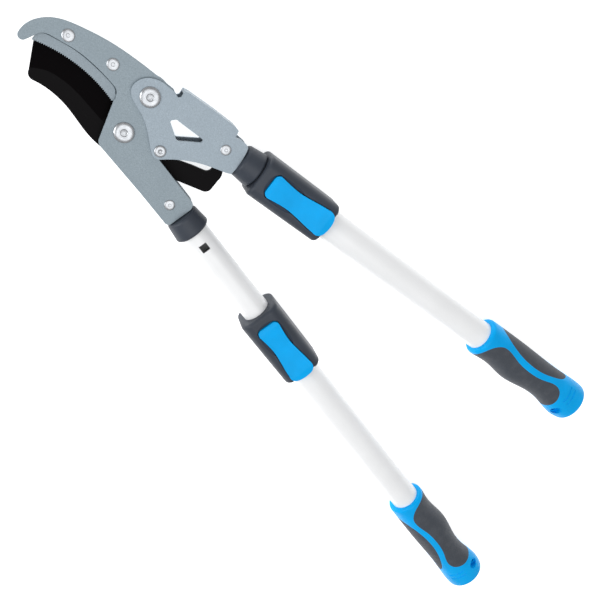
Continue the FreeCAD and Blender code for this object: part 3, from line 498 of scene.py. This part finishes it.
@dataclass
class Palette:
    """Every finish of the loppers, built once."""

    finishes: tuple[Finish, ...] = (
        SatinSteel("hook_paint", (136, 149, 157)),
        SatinSteel("channel_paint", (151, 164, 174)),
        SatinSteel("strip_paint", (138, 150, 158)),
        BlackCoat("blade_coat_and_shade"),
        BrightSteel("bolt_zinc", (190, 193, 197), roughness=0.26, stretch=(1.0, 1.0, 1.0)),
        BrightSteel("bush_bronze", (176, 128, 72), roughness=0.3),
        BrightSteel("spring_steel", (168, 170, 174), roughness=0.3, stretch=(1, 0.1, 1)),
        Moulded("slate_plastic", (57, 63, 73), shine=0.34),
        Moulded("blue_plastic", (0, 172, 246), roughness=0.3, grain=0.6, depth=0.012, shine=0.12),
        Moulded("guide_plastic", (206, 208, 204), roughness=0.5),
        Enamel("tube_enamel"),
        Rubber("grip_rubber"),
    )
    made: dict[str, bpy.types.Material] = field(init=False, default_factory=dict)

    def __post_init__(self) -> None:
        """Build each finish's material."""
        for finish in self.finishes:
            self.made[finish.name] = finish.material()

    def __getitem__(self, name: str) -> bpy.types.Material:
        """The material of this name."""
        return self.made[name]


# ---------------------------------------------------------------- shapes


WELD = 1e-6
"""Corners nearer than this are one corner, in metres."""

TINY = 4e-5
"""Edges shorter than this are closed up before a piece's edges are rounded, in metres."""

FLAT = math.radians(0.5)
"""Faces that turn less than this lie in one flat."""

SHARP = math.radians(35)
"""Edges that turn more than this shade as edges, and are rounded if they stand out."""

AROUND = 96
"""Faces round a turned surface."""

ROD_AROUND = 12
"""Faces round a thin rod."""


def new_object(name: str, mesh: bpy.types.Mesh, material: bpy.types.Material | None) -> bpy.types.Object:
    """Put a mesh into the scene as one piece of one finish.

    Args:
        name: the piece's name.
        mesh: its mesh, already in place.
        material: its finish, or None for a cutter.

    Returns:
        The new object.
    """
    mesh.materials.clear()
    if material:
        mesh.materials.append(material)
    piece = bpy.data.objects.new(name, mesh)
    bpy.context.scene.collection.objects.link(piece)
    return piece


def smooth(piece: bpy.types.Object) -> None:
    """Shade a piece smoothly between its sharp edges, with its flats kept flat.

    Args:
        piece: the piece.
    """
    piece.data.shade_smooth()
    piece.data.set_sharp_from_angle(angle=SHARP)
    even = piece.modifiers.new("even_normals", "WEIGHTED_NORMAL")
    even.keep_sharp = True


def outward(mesh: bmesh.types.BMesh) -> None:
    """Merge doubles and turn every face outwards."""
    bmesh.ops.remove_doubles(mesh, verts=mesh.verts, dist=WELD)
    bmesh.ops.recalc_face_normals(mesh, faces=mesh.faces)


def grid_piece(name: str, points: np.ndarray, material: bpy.types.Material | None,
               closed: tuple[bool, bool] = (False, False)) -> bpy.types.Object:
    """A surface from a grid of points, joined up at its closed directions.

    Each grid place (i, j) and its next neighbours in both directions make one four-cornered face.

    Args:
        name: the piece's name.
        points: an array of rows x columns x 3, in metres.
        material: its finish, or None for a cutter.
        closed: whether the rows and the columns run back to their starts.

    Returns:
        The new object.
    """
    rows, columns = points.shape[:2]
    index = np.arange(rows * columns).reshape(rows, columns)
    for axis, runs_back in enumerate(closed):
        if runs_back:
            index = np.concatenate([index, index.take([0], axis)], axis)
    corners = np.stack([index[:-1, :-1], index[1:, :-1], index[1:, 1:], index[:-1, 1:]], -1)
    mesh = bpy.data.meshes.new(name)
    mesh.from_pydata(points.reshape(-1, 3).tolist(), [], corners.reshape(-1, 4).tolist())
    shape = bmesh.new()
    shape.from_mesh(mesh)
    outward(shape)
    shape.to_mesh(mesh)
    shape.free()
    piece = new_object(name, mesh, material)
    smooth(piece)
    return piece


def turned_piece(name: str, profile: np.ndarray, centre: Sequence[float],
                 material: bpy.types.Material) -> bpy.types.Object:
    """A profile turned about an upright axis.

    Each profile point goes round a circle: x = r cos a, y = r sin a, z = height.

    Args:
        name: the piece's name.
        profile: an array of (radius, height) points, in metres.
        centre: the axis's (x, y), in metres.
        material: the piece's finish.

    Returns:
        The new object.
    """
    angle = np.linspace(0, 2 * math.pi, AROUND, endpoint=False)
    radius, height = profile[:, :1], profile[:, 1:]
    points = np.stack([
        centre[0] + radius * np.cos(angle),
        centre[1] + radius * np.sin(angle),
        np.broadcast_to(height, (len(profile), AROUND)),
    ], -1)
    return grid_piece(name, points, material, (False, True))


def merged_shape(node: str) -> bmesh.types.BMesh:
    """A CAD piece's shape, with its loose triangles joined up. The caller frees it."""
    shape = bmesh.new()
    shape.from_mesh(frame["nodes"][node].data)
    bmesh.ops.remove_doubles(shape, verts=shape.verts, dist=WELD)
    return shape


def softened(node: str, material: bpy.types.Material, width: float, steps: int,
             cutters: Iterable[bpy.types.Object]) -> bpy.types.Object:
    """A copy of a CAD piece with its flats joined, fine work cut in, and its sharp edges rounded.

    Args:
        node: the CAD node.
        material: the copy's finish.
        width: the rounding's width, in millimetres.
        steps: faces across the rounding.
        cutters: pieces whose room is cut from the copy first. They are used up.

    Returns:
        The new object.
    """
    shape = merged_shape(node)
    mesh = bpy.data.meshes.new(node + "_piece")
    shape.to_mesh(mesh)
    piece = new_object(node + "_piece", mesh, material)
    for cutter in cutters:
        carve(piece, cutter)
    shape.clear()
    shape.from_mesh(piece.data)
    bmesh.ops.dissolve_limit(shape, angle_limit=FLAT, verts=shape.verts, edges=shape.edges)
    bmesh.ops.remove_doubles(shape, verts=shape.verts, dist=TINY)
    bmesh.ops.dissolve_degenerate(shape, edges=shape.edges, dist=TINY)
    edges = [edge for edge in shape.edges if edge.is_convex and edge.calc_face_angle(0) > SHARP]
    bmesh.ops.bevel(shape, geom=edges, offset=width * MM, offset_type="OFFSET", segments=steps,
                    profile=0.5, affect="EDGES", clamp_overlap=True)
    shape.to_mesh(piece.data)
    shape.free()
    smooth(piece)
    return piece


def carve(piece: bpy.types.Object, cutter: bpy.types.Object) -> None:
    """Cut a closed piece's room out of another, and remove the cutter.

    Args:
        piece: the piece that is cut.
        cutter: the closed piece.
    """
    cutting = piece.modifiers.new("cut", "BOOLEAN")
    cutting.operation = "DIFFERENCE"
    cutting.solver = "EXACT"
    cutting.object = cutter
    bpy.context.view_layer.update()
    evaluated = piece.evaluated_get(bpy.context.evaluated_depsgraph_get())
    mesh = bpy.data.meshes.new_from_object(evaluated)
    piece.modifiers.clear()
    piece.data = mesh
    bpy.data.objects.remove(cutter)


def stand_for(piece: bpy.types.Object, node: str) -> bpy.types.Object:
    """Let a piece take a CAD node's place and body, and hide the node.

    Args:
        piece: the finished piece.
        node: the CAD node.

    Returns:
        The piece.
    """
    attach(piece, body_of(frame["nodes"][node])[0])
    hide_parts(node)
    log.info("%s stands for %s", piece.name, node)
    return piece


def joined(pieces: list[bpy.types.Object]) -> bpy.types.Object:
    """Join pieces of one finish into the first of them."""
    with bpy.context.temp_override(active_object=pieces[0], selected_editable_objects=pieces):
        bpy.ops.object.join()
    return pieces[0]


def placed(points: np.ndarray, place: Matrix) -> np.ndarray:
    """Carry an array of points from a piece's own place to the frame's."""
    turn = np.array(place.to_3x3())
    return points @ turn.T + np.array(place.translation)


def at_height(places: np.ndarray, height: float | np.ndarray) -> np.ndarray:
    """Give flat (x, y) places one height, or a height each."""
    return np.column_stack([places, np.broadcast_to(height, len(places))])


def spaced(corners: Sequence[Sequence[float]], count: int) -> np.ndarray:
    """Points evenly spaced by share along a smooth line through corners.

    The line is a Catmull-Rom curve: each run leaves a corner along the chord of its neighbours.

    Args:
        corners: the places that the line goes through.
        count: how many points it gets.

    Returns:
        An array of points, in the corners' units.
    """
    line = np.array(corners, float)
    line = np.concatenate([2 * line[:1] - line[1:2], line, 2 * line[-1:] - line[-2:-1]])
    share = np.linspace(0, len(corners) - 1, count)
    run = np.minimum(share.astype(int), len(corners) - 2)
    t = (share - run)[:, None]
    before, start, end, after = (line[run + step] for step in range(4))
    return 0.5 * (2 * start + (end - before) * t + (2 * before - 5 * start + 4 * end - after) * t**2
                  + (3 * start - before - 3 * end + after) * t**3)


def rod_cutter(path: np.ndarray, across: Vector, radius: float,
               stretch: float = 1.0) -> bpy.types.Object:
    """A closed rod along a path that lies square to `across`, its ends drawn to points.

    Args:
        path: the rod's middle line, in metres.
        across: the direction that every place on the path is square to.
        radius: the rod's radius, in metres.
        stretch: how many times its radius the rod reaches along `across`.

    Returns:
        The rod, as a cutter.
    """
    along = np.gradient(path, axis=0)
    along /= np.linalg.norm(along, axis=1, keepdims=True)
    first = np.array(across)
    second = np.cross(along, first)
    angle = np.linspace(0, 2 * math.pi, ROD_AROUND, endpoint=False)[None, :, None]
    width = np.full((len(path), 1, 1), radius)
    width[[0, -1]] = 0.0
    ring = stretch * np.cos(angle) * first + np.sin(angle) * second[:, None]
    return grid_piece("rod_cutter", path[:, None] + width * ring, None, (False, True))


def grown(node: str, gap: float) -> bpy.types.Object:
    """A CAD piece's shape, larger on every side, as a cutter.

    Each corner moves out along its normal, further where its faces meet at a sharp angle.

    Args:
        node: the CAD node.
        gap: how far each face moves out, in millimetres.

    Returns:
        The shape, as a cutter.
    """
    shape = merged_shape(node)
    shape.normal_update()
    moves = [(vertex, vertex.normal * vertex.calc_shell_factor()) for vertex in shape.verts]
    for vertex, normal in moves:
        vertex.co += normal * gap * MM
    mesh = bpy.data.meshes.new("gap_cutter")
    shape.to_mesh(mesh)
    shape.free()
    return new_object("gap_cutter", mesh, None)


def middle(node: str) -> Vector:
    """The middle of a CAD node's box."""
    low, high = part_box(node)
    return (Vector(low) + Vector(high)) / 2


# ---------------------------------------------------------------- sub-assemblies


@dataclass(frozen=True)
class SoftCopy:
    """How a CAD piece is copied: its finish, and its rounding's width in millimetres and steps."""

    node: str
    finish: str
    width: float
    steps: int = 2

    def build(self, palette: Palette, before: str = "",
              cutters: Iterable[bpy.types.Object] = ()) -> bpy.types.Object:
        """Make the softened copy, and let it take its CAD piece's place.

        Args:
            palette: the finishes.
            before: the start of the CAD node's name, where handles share this entry.
            cutters: pieces whose room is cut from the copy. They are used up.

        Returns:
            The copy.
        """
        node = before + self.node
        return stand_for(softened(node, palette[self.finish], self.width, self.steps, cutters), node)


@dataclass(frozen=True)
class DomedHead:
    """The head of a bolt, rivet or screw: a low dome, with a ring and a dimple at its middle.

    The dimple, hollow and ring are shares of the head's radius. The height is a share of the room
    that the CAD head has, and the rim, the shoulder and the depths are shares of the dome's rise.
    """

    dimple: float = 0.12
    hollow: float = 0.3
    ring: float = 0.5
    rim: float = 0.12
    height: float = 0.62
    shoulder: float = 0.1
    hollow_depth: float = 0.22
    dimple_depth: float = 0.2
    seat_inset: float = 0.15
    dome_steps: int = 18
    ring_steps: int = 9

    def profile(self, radius: float, base: float, top: float) -> np.ndarray:
        """The head's (radius, height) profile, from its middle to its rim.

        The dome falls from the ring to the rim as a quarter of an ellipse. The ring is a half
        wave that stands over a hollow, and the dimple is a cone in the hollow. The seat is drawn
        in under the rim by seat_inset millimetres.

        Args:
            radius: the head's radius.
            base: the height of its seat.
            top: the height of the CAD head's top.

        Returns:
            An array of points, in metres.
        """
        rise = (top - base) * self.height
        crown, low = base + rise, base + self.rim * rise
        shoulder, floor = crown - self.shoulder * rise, crown - self.hollow_depth * rise
        sweep = np.linspace(0, math.pi / 2, self.dome_steps)[1:]
        dome_start = self.ring * radius
        dome = np.stack([
            dome_start + (radius - dome_start) * np.sin(sweep),
            low + (shoulder - low) * np.cos(sweep),
        ], -1)
        wave = np.linspace(0, 1, self.ring_steps)
        ring = np.stack([
            (self.hollow + (self.ring - self.hollow) * wave) * radius,
            floor + (shoulder - floor) * wave + self.shoulder * rise * np.sin(math.pi * wave),
        ], -1)
        cone = [(0, floor - self.dimple_depth * rise), (self.dimple * radius, floor)]
        return np.concatenate([cone, ring, dome, [(radius - self.seat_inset * MM, base)]])


SMALL_HEAD = DomedHead(dimple=0.14, hollow=0.24, ring=0.34, rim=0.2)
"""The head of a rivet or small screw, whose ring is smaller and whose rim is thicker."""


@dataclass(frozen=True)
class Bolt:
    """A bolt, screw or pin: a domed head and a plain shank. Sizes are in millimetres."""

    node: str
    shank: float
    rise: float
    head: DomedHead = DomedHead()
    chamfer: float = 0.5

    def build(self, material: bpy.types.Material) -> bpy.types.Object:
        """Turn the bolt from its profile, in its CAD piece's place.

        Args:
            material: the bolt's finish.

        Returns:
            The bolt.
        """
        low, high = (Vector(corner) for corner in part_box(self.node))
        shank, chamfer = self.shank * MM, self.chamfer * MM
        seat = high.z - self.rise * MM
        end = [(shank, seat), (shank, low.z + chamfer), (shank - chamfer, low.z), (0, low.z)]
        profile = np.concatenate([self.head.profile((high.x - low.x) / 2, seat, high.z), end])
        centre = ((low.x + high.x) / 2, (low.y + high.y) / 2)
        return stand_for(turned_piece(self.node + "_piece", profile, centre, material), self.node)


@dataclass(frozen=True)
class JawRivets:
    """The two rivets of the jaw, as one piece. Sizes are in millimetres."""

    node: str = "jaw_rivets"
    head_radius: float = 5.0
    shank: float = 2.5
    rise: float = 1.8

    def build(self, material: bpy.types.Material) -> bpy.types.Object:
        """Turn both rivets and join them. Each touches two sides of the CAD piece's box.

        Args:
            material: the rivets' finish.

        Returns:
            The rivets, as one piece.
        """
        low, high = (Vector(corner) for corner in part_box(self.node))
        radius, shank, seat = self.head_radius * MM, self.shank * MM, high.z - self.rise * MM
        end = [(shank, seat), (shank, low.z), (0, low.z)]
        profile = np.concatenate([SMALL_HEAD.profile(radius, seat, high.z), end])
        places = [(low.x + radius, low.y + radius), (high.x - radius, high.y - radius)]
        rivets = [turned_piece(f"{self.node}_{index}", profile, place, material)
                  for index, place in enumerate(places)]
        return stand_for(joined(rivets), self.node)


@dataclass(frozen=True)
class BladeGrind:
    """The blade's ground face, from the grind line down to the thin cutting edge.

    Places are (x, y) in millimetres from the blade's pivot. The drop and the heights over the
    blade's face are in millimetres too, and the runout is a share of the run along the edge.
    """

    grind_line: tuple[Point, ...] = (
        (-84.0, -34.0), (-80.3, -27.3), (-77.3, -23.5), (-69.1, -16.8), (-55.6, -12.0), (-42.3, -10.0),
        (-26.7, -9.6), (-11.5, -8.3),
    )
    edge_line: tuple[Point, ...] = (
        (-106.0, -24.0), (-103.0, -14.0), (-96.0, -4.0), (-83.0, 4.0), (-66.0, 11.0), (-50.0, 15.0),
        (-34.0, 18.0), (-17.0, 19.4),
    )
    drop: float = 3.3
    runout: float = 0.05
    clear_height: float = 6.0
    start_height: float = 0.02
    steps: int = 40

    def cutter(self, pivot: Vector, top: float) -> bpy.types.Object:
        """A closed wedge over the ground face.

        Each cross-section is a four-sided ring: the grind line, the lowered edge line, and both
        again well above the blade. The drop fades to nothing over the last stretch, by the pivot.
        The fade is a smooth step, 3 f^2 - 2 f^3.

        Args:
            pivot: the blade's pivot.
            top: the height of the blade's face.

        Returns:
            The wedge, as a cutter.
        """
        inner, outer = spaced(self.grind_line, self.steps), spaced(self.edge_line, self.steps)
        fade = np.clip((1 - np.linspace(0, 1, self.steps)) / self.runout, 0, 1)
        lowered = -self.drop * fade * fade * (3 - 2 * fade)
        rings = np.stack([
            at_height(inner, self.start_height),
            at_height(outer, lowered),
            at_height(outer, self.clear_height),
            at_height(inner, self.clear_height),
        ], 1)
        ends = rings[[0, -1]].mean(axis=1, keepdims=True).repeat(4, axis=1)
        rings = np.concatenate([ends[:1], rings, ends[1:]]) * MM
        rings += np.array((pivot.x, pivot.y, top))
        return grid_piece("grind_cutter", rings, None, (False, True))


@dataclass
class Head:
    """The fixed plates, the serrated strip, the blade, the lever's channel, and the pivots."""

    plates: tuple[SoftCopy, ...] = (
        SoftCopy("hook_plate", "hook_paint", 0.6),
        SoftCopy("frame_plate", "hook_paint", 0.6),
        SoftCopy("serrated_insert", "strip_paint", 0.15),
        SoftCopy("blade", "blade_coat_and_shade", 0.15),
        SoftCopy("lever_channel", "channel_paint", 1.1, 3),
    )
    bolts: tuple[Bolt, ...] = (
        Bolt("blade_pivot_bolt", 5.0, 3.2),
        Bolt("lever_pivot_bolt", 5.0, 3.2),
        Bolt("cam_pin", 3.0, 2.4),
        Bolt("left_socket_screw", 2.5, 1.8, SMALL_HEAD),
        Bolt("right_socket_screw", 2.5, 1.8, SMALL_HEAD),
    )
    fittings: tuple[SoftCopy, ...] = (
        SoftCopy("blade_pivot_nut", "bolt_zinc", 0.4),
        SoftCopy("lever_pivot_nut", "bolt_zinc", 0.4),
        SoftCopy("cam_nut", "bolt_zinc", 0.4),
        SoftCopy("left_socket_nut", "bolt_zinc", 0.4),
        SoftCopy("right_socket_nut", "bolt_zinc", 0.4),
        SoftCopy("blade_pivot_spacer", "spring_steel", 0.2),
        SoftCopy("lever_pivot_spacer", "spring_steel", 0.2),
        SoftCopy("cam_roller", "spring_steel", 0.2),
        SoftCopy("blade_bush", "bush_bronze", 0.2),
    )
    grind: BladeGrind = BladeGrind()
    jaw_edge: tuple[Point, ...] = (
        (-97.6, -9.8), (-95.0, -1.9), (-87.1, 3.0), (-69.5, 10.5), (-49.6, 14.9), (-32.6, 16.4),
        (-26.8, 13.4),
    )
    jaw_steps: int = 60
    jaw_groove_radius: float = 0.4
    jaw_groove_stretch: float = 4.0

    def build(self, palette: Palette) -> None:
        """Build every piece of the head.

        Args:
            palette: the finishes.
        """
        for plate in self.plates:
            plate.build(palette, cutters=self.cutters(plate.node))
        JawRivets().build(palette["bolt_zinc"])
        for bolt in self.bolts:
            bolt.build(palette["bolt_zinc"])
        for fitting in self.fittings:
            fitting.build(palette)

    def cutters(self, node: str) -> list[bpy.types.Object]:
        """The cutters for one plate's fine work.

        Args:
            node: the plate's node.

        Returns:
            The cutters, or an empty list for a plain plate.
        """
        if node == "serrated_insert":
            return [self.jaw_groove()]
        if node == "blade":
            return [self.grind.cutter(middle("blade_pivot_bolt"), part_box("blade")[1][2])]
        return []

    def jaw_groove(self) -> bpy.types.Object:
        """A thin deep rod in the strip's face, beside the hook plate's jaw edge.

        The edge's places are (x, y) in millimetres from the blade's pivot.

        Returns:
            The rod, as a cutter.
        """
        pivot, top = middle("blade_pivot_bolt"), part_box("serrated_insert")[1][2]
        path = at_height(spaced(self.jaw_edge, self.jaw_steps) * MM, 0.0) + (pivot.x, pivot.y, top)
        return rod_cutter(path, Vector((0, 0, 1)), self.jaw_groove_radius * MM, self.jaw_groove_stretch)


@dataclass
class Handle:
    """One telescopic handle: socket, tubes, clamp with its lock, and grip. Sizes are in millimetres.

    Its own place has its origin on the tube's axis at the clamp's mouth, and X along the tube. The
    grooves' places are from the grip's rim, along the grip, and their reach is across it.
    """

    side: Side
    parts: tuple[SoftCopy, ...] = (
        SoftCopy("_socket", "slate_plastic", 0.4),
        SoftCopy("_inner_tube", "tube_enamel", 0.25),
        SoftCopy("_outer_tube", "tube_enamel", 0.25),
        SoftCopy("_tube_guide", "guide_plastic", 0.3),
        SoftCopy("_clamp", "slate_plastic", 0.6, 3),
        SoftCopy("_lock_lever", "blue_plastic", 1.1, 3),
        # The hinge pins take the black coat as painted shade, so their ends in the gap round the lever
        # stay dark.
        SoftCopy("_hinge_pin", "blade_coat_and_shade", 0.1),
        SoftCopy("_lock_tooth", "spring_steel", 0.1),
        SoftCopy("_lock_spring", "spring_steel", 0.1),
        SoftCopy("_grip_core", "blue_plastic", 0.3),
        SoftCopy("_inner_pad", "grip_rubber", 0.45),
        SoftCopy("_outer_pad", "grip_rubber", 0.45),
    )
    grip_length: float = 153.5
    groove_places: Span = (128.0, 134.0)
    groove_reach: Span = (3.0, -16.0)
    groove_radius: float = 0.9
    groove_steps: int = 18
    ray_height: float = 100.0
    dish: Triple = (19.0, 13.0, 2.6)
    dish_x: float = 26.5
    dish_lift: float = 0.8
    dish_power: float = 2 / 3
    dish_steps: int = 49
    lock_gap: float = 0.6
    along: Vector = field(init=False)
    place: Matrix = field(init=False)

    def __post_init__(self) -> None:
        """Find the handle's direction and place from its slide joint and its CAD pieces.

        Both clamps are as long as the left one, which lies along X, so its box gives the length.
        """
        name = self.side.value
        slide = next(joint for joint in frame["joints"] if joint["name"] == name + "_telescope")
        self.along = Vector(slide["axis"]).normalized()
        low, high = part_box("left_clamp")
        clamp_length = high[0] - low[0]
        mouth = middle(name + "_clamp") - self.along * clamp_length / 2
        mouth.z = middle(name + "_outer_tube").z
        turn = math.atan2(self.along.y, self.along.x)
        self.place = Matrix.Translation(mouth) @ Matrix.Rotation(turn, 4, "Z")

    def build(self, palette: Palette) -> None:
        """Build every piece of the handle.

        Args:
            palette: the finishes.
        """
        for part in self.parts:
            part.build(palette, self.side.value, self.cutters(part.node))

    def cutters(self, part: str) -> list[bpy.types.Object]:
        """The cutters for one part's fine work.

        Args:
            part: the part's node, without its side.

        Returns:
            The cutters, or an empty list for a plain part.
        """
        if part == "_clamp":
            return [self.dish_cutter(), grown(self.side.value + "_lock_lever", self.lock_gap)]
        if part == "_grip_core":
            return self.groove_cutters()
        return []

    def dish_cutter(self) -> bpy.types.Object:
        """A flat egg that cuts a shallow dish round the lock end of the lever.

        Each place is the egg's three half sizes times a direction, whose parts are raised to the
        power of two thirds, so that the dish has steep sides and a flat floor.

        Returns:
            The egg, as a cutter.
        """
        top = (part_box(self.side.value + "_clamp")[1][2] - self.place.translation.z) / MM
        tilt = np.linspace(0, math.pi, self.dish_steps)[:, None]
        angle = np.linspace(0, 2 * math.pi, AROUND, endpoint=False)[None, :]
        unit = np.stack([
            np.sin(tilt) * np.cos(angle),
            np.sin(tilt) * np.sin(angle),
            np.cos(tilt) + 0 * angle,
        ], -1)
        boxy = np.sign(unit) * np.abs(unit) ** self.dish_power
        centre = np.array((self.dish_x, 0, top + self.dish_lift))
        points = placed((boxy * self.dish + centre) * MM, self.place)
        return grid_piece("dish_cutter", points, None, (False, True))

    def groove_cutters(self) -> list[bpy.types.Object]:
        """Two thin rods laid on the butt's surface, which cut its two grooves.

        The surface's height at each place is found by a ray from above.

        Returns:
            The rods, as cutters.
        """
        core = frame["nodes"][self.side.value + "_grip_core"].data
        shape = bmesh.new()
        shape.from_mesh(core)
        surface = BVHTree.FromBMesh(shape)
        shape.free()
        to_handle = self.place.inverted()
        rim = max((to_handle @ vertex.co).x for vertex in core.vertices) - self.grip_length * MM
        across = np.linspace(*self.groove_reach, self.groove_steps) * self.side.inward * MM
        rods = []
        for distance in self.groove_places:
            starts = [self.place @ Vector((rim + distance * MM, y, self.ray_height * MM)) for y in across]
            hits = [surface.ray_cast(start, Vector((0, 0, -1)))[0] for start in starts]
            rods.append(rod_cutter(np.array(hits), self.along, self.groove_radius * MM))
        return rods


# ---------------------------------------------------------------- studio


@dataclass(frozen=True)
class Lamp:
    """A soft square light: where it stands and its side in metres, and its power in watts."""

    name: str
    place: Triple
    width: float
    power: float

    def build(self, target: Vector) -> None:
        """Put the light into the scene.

        Args:
            target: the point that it is aimed at.
        """
        lamp = bpy.data.lights.new(self.name, "AREA")
        lamp.size = self.width
        lamp.energy = self.power
        holder = bpy.data.objects.new(self.name, lamp)
        holder.location = self.place
        holder.rotation_euler = (target - Vector(self.place)).to_track_quat("-Z", "Y").to_euler()
        bpy.context.scene.collection.objects.link(holder)


@dataclass
class Studio:
    """A pale floor, soft lights and the camera. Places are in metres."""

    camera_from_pivot: Triple = (-0.13102, 0.07015, 0.66637)
    camera_turn: Triple = (-24.7579, -13.5944, 56.8094)
    camera_near: float = 0.01
    lens: float = 48.0
    floor_colour: Colour = (246, 247, 248)
    floor_glow: float = 0.7
    floor_half: float = 15.0
    floor_height: float = -0.0004
    floor_steps: int = 9
    fibre_grain: float = 6.0
    world_light: float = 0.5
    target: Triple = (0, 0, 0.02)
    lamps: tuple[Lamp, ...] = (
        Lamp("key", (-0.95, -1.0, 0.9), 0.8, 8.0),
        Lamp("top", (0.1, -0.15, 1.7), 1.4, 9.0),
    )

    def build(self) -> None:
        """Build the studio."""
        self.floor()
        self.world()
        for lamp in self.lamps:
            lamp.build(Vector(self.target))
        self.camera()

    def floor(self) -> None:
        """A pale sheet that the loppers lie on, as a flat square grid."""
        steps = np.linspace(-self.floor_half, self.floor_half, self.floor_steps)
        x, y = np.meshgrid(steps, steps, indexing="ij")
        points = np.stack([x, y, np.full_like(x, self.floor_height)], -1)
        graph = Graph("floor_paper")
        fibre = graph.noise(graph.place(), self.fibre_grain, detail=3.0)
        colour = graph.tones(fibre, MOST, self.floor_colour, (0.99, 1.0))
        rough = graph.remap(fibre, *MOST, 0.85, 0.95)
        material = graph.finish(colour, rough, Emission_Strength=self.floor_glow, Emission_Color=WHITE)
        grid_piece("floor", points, material)

    def world(self) -> None:
        """Even white light from all round."""
        world = bpy.data.worlds.new("studio")
        world.use_nodes = True
        sky = world.node_tree.nodes["Background"]
        sky.inputs["Color"].default_value = WHITE
        sky.inputs["Strength"].default_value = self.world_light
        bpy.context.scene.world = world
        bpy.context.scene.view_settings.view_transform = "Standard"

    def camera(self) -> None:
        """The camera, from above the head, looking along the handles."""
        lens = bpy.data.cameras.new("camera")
        lens.lens = self.lens
        lens.clip_start = self.camera_near
        holder = bpy.data.objects.new("camera", lens)
        pivot = middle("blade_pivot_bolt")
        pivot.z = middle("left_outer_tube").z
        holder.location = pivot + Vector(self.camera_from_pivot)
        holder.rotation_euler = [math.radians(angle) for angle in self.camera_turn]
        bpy.context.scene.collection.objects.link(holder)
        bpy.context.scene.camera = holder


def main() -> None:
    """Build the loppers and the studio."""
    logging.basicConfig(level=logging.INFO, format="%(name)s: %(message)s")
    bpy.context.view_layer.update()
    palette = Palette()
    Head().build(palette)
    for side in Side:
        Handle(side).build(palette)
    Studio().build()


if __name__ == "__main__":
    main()
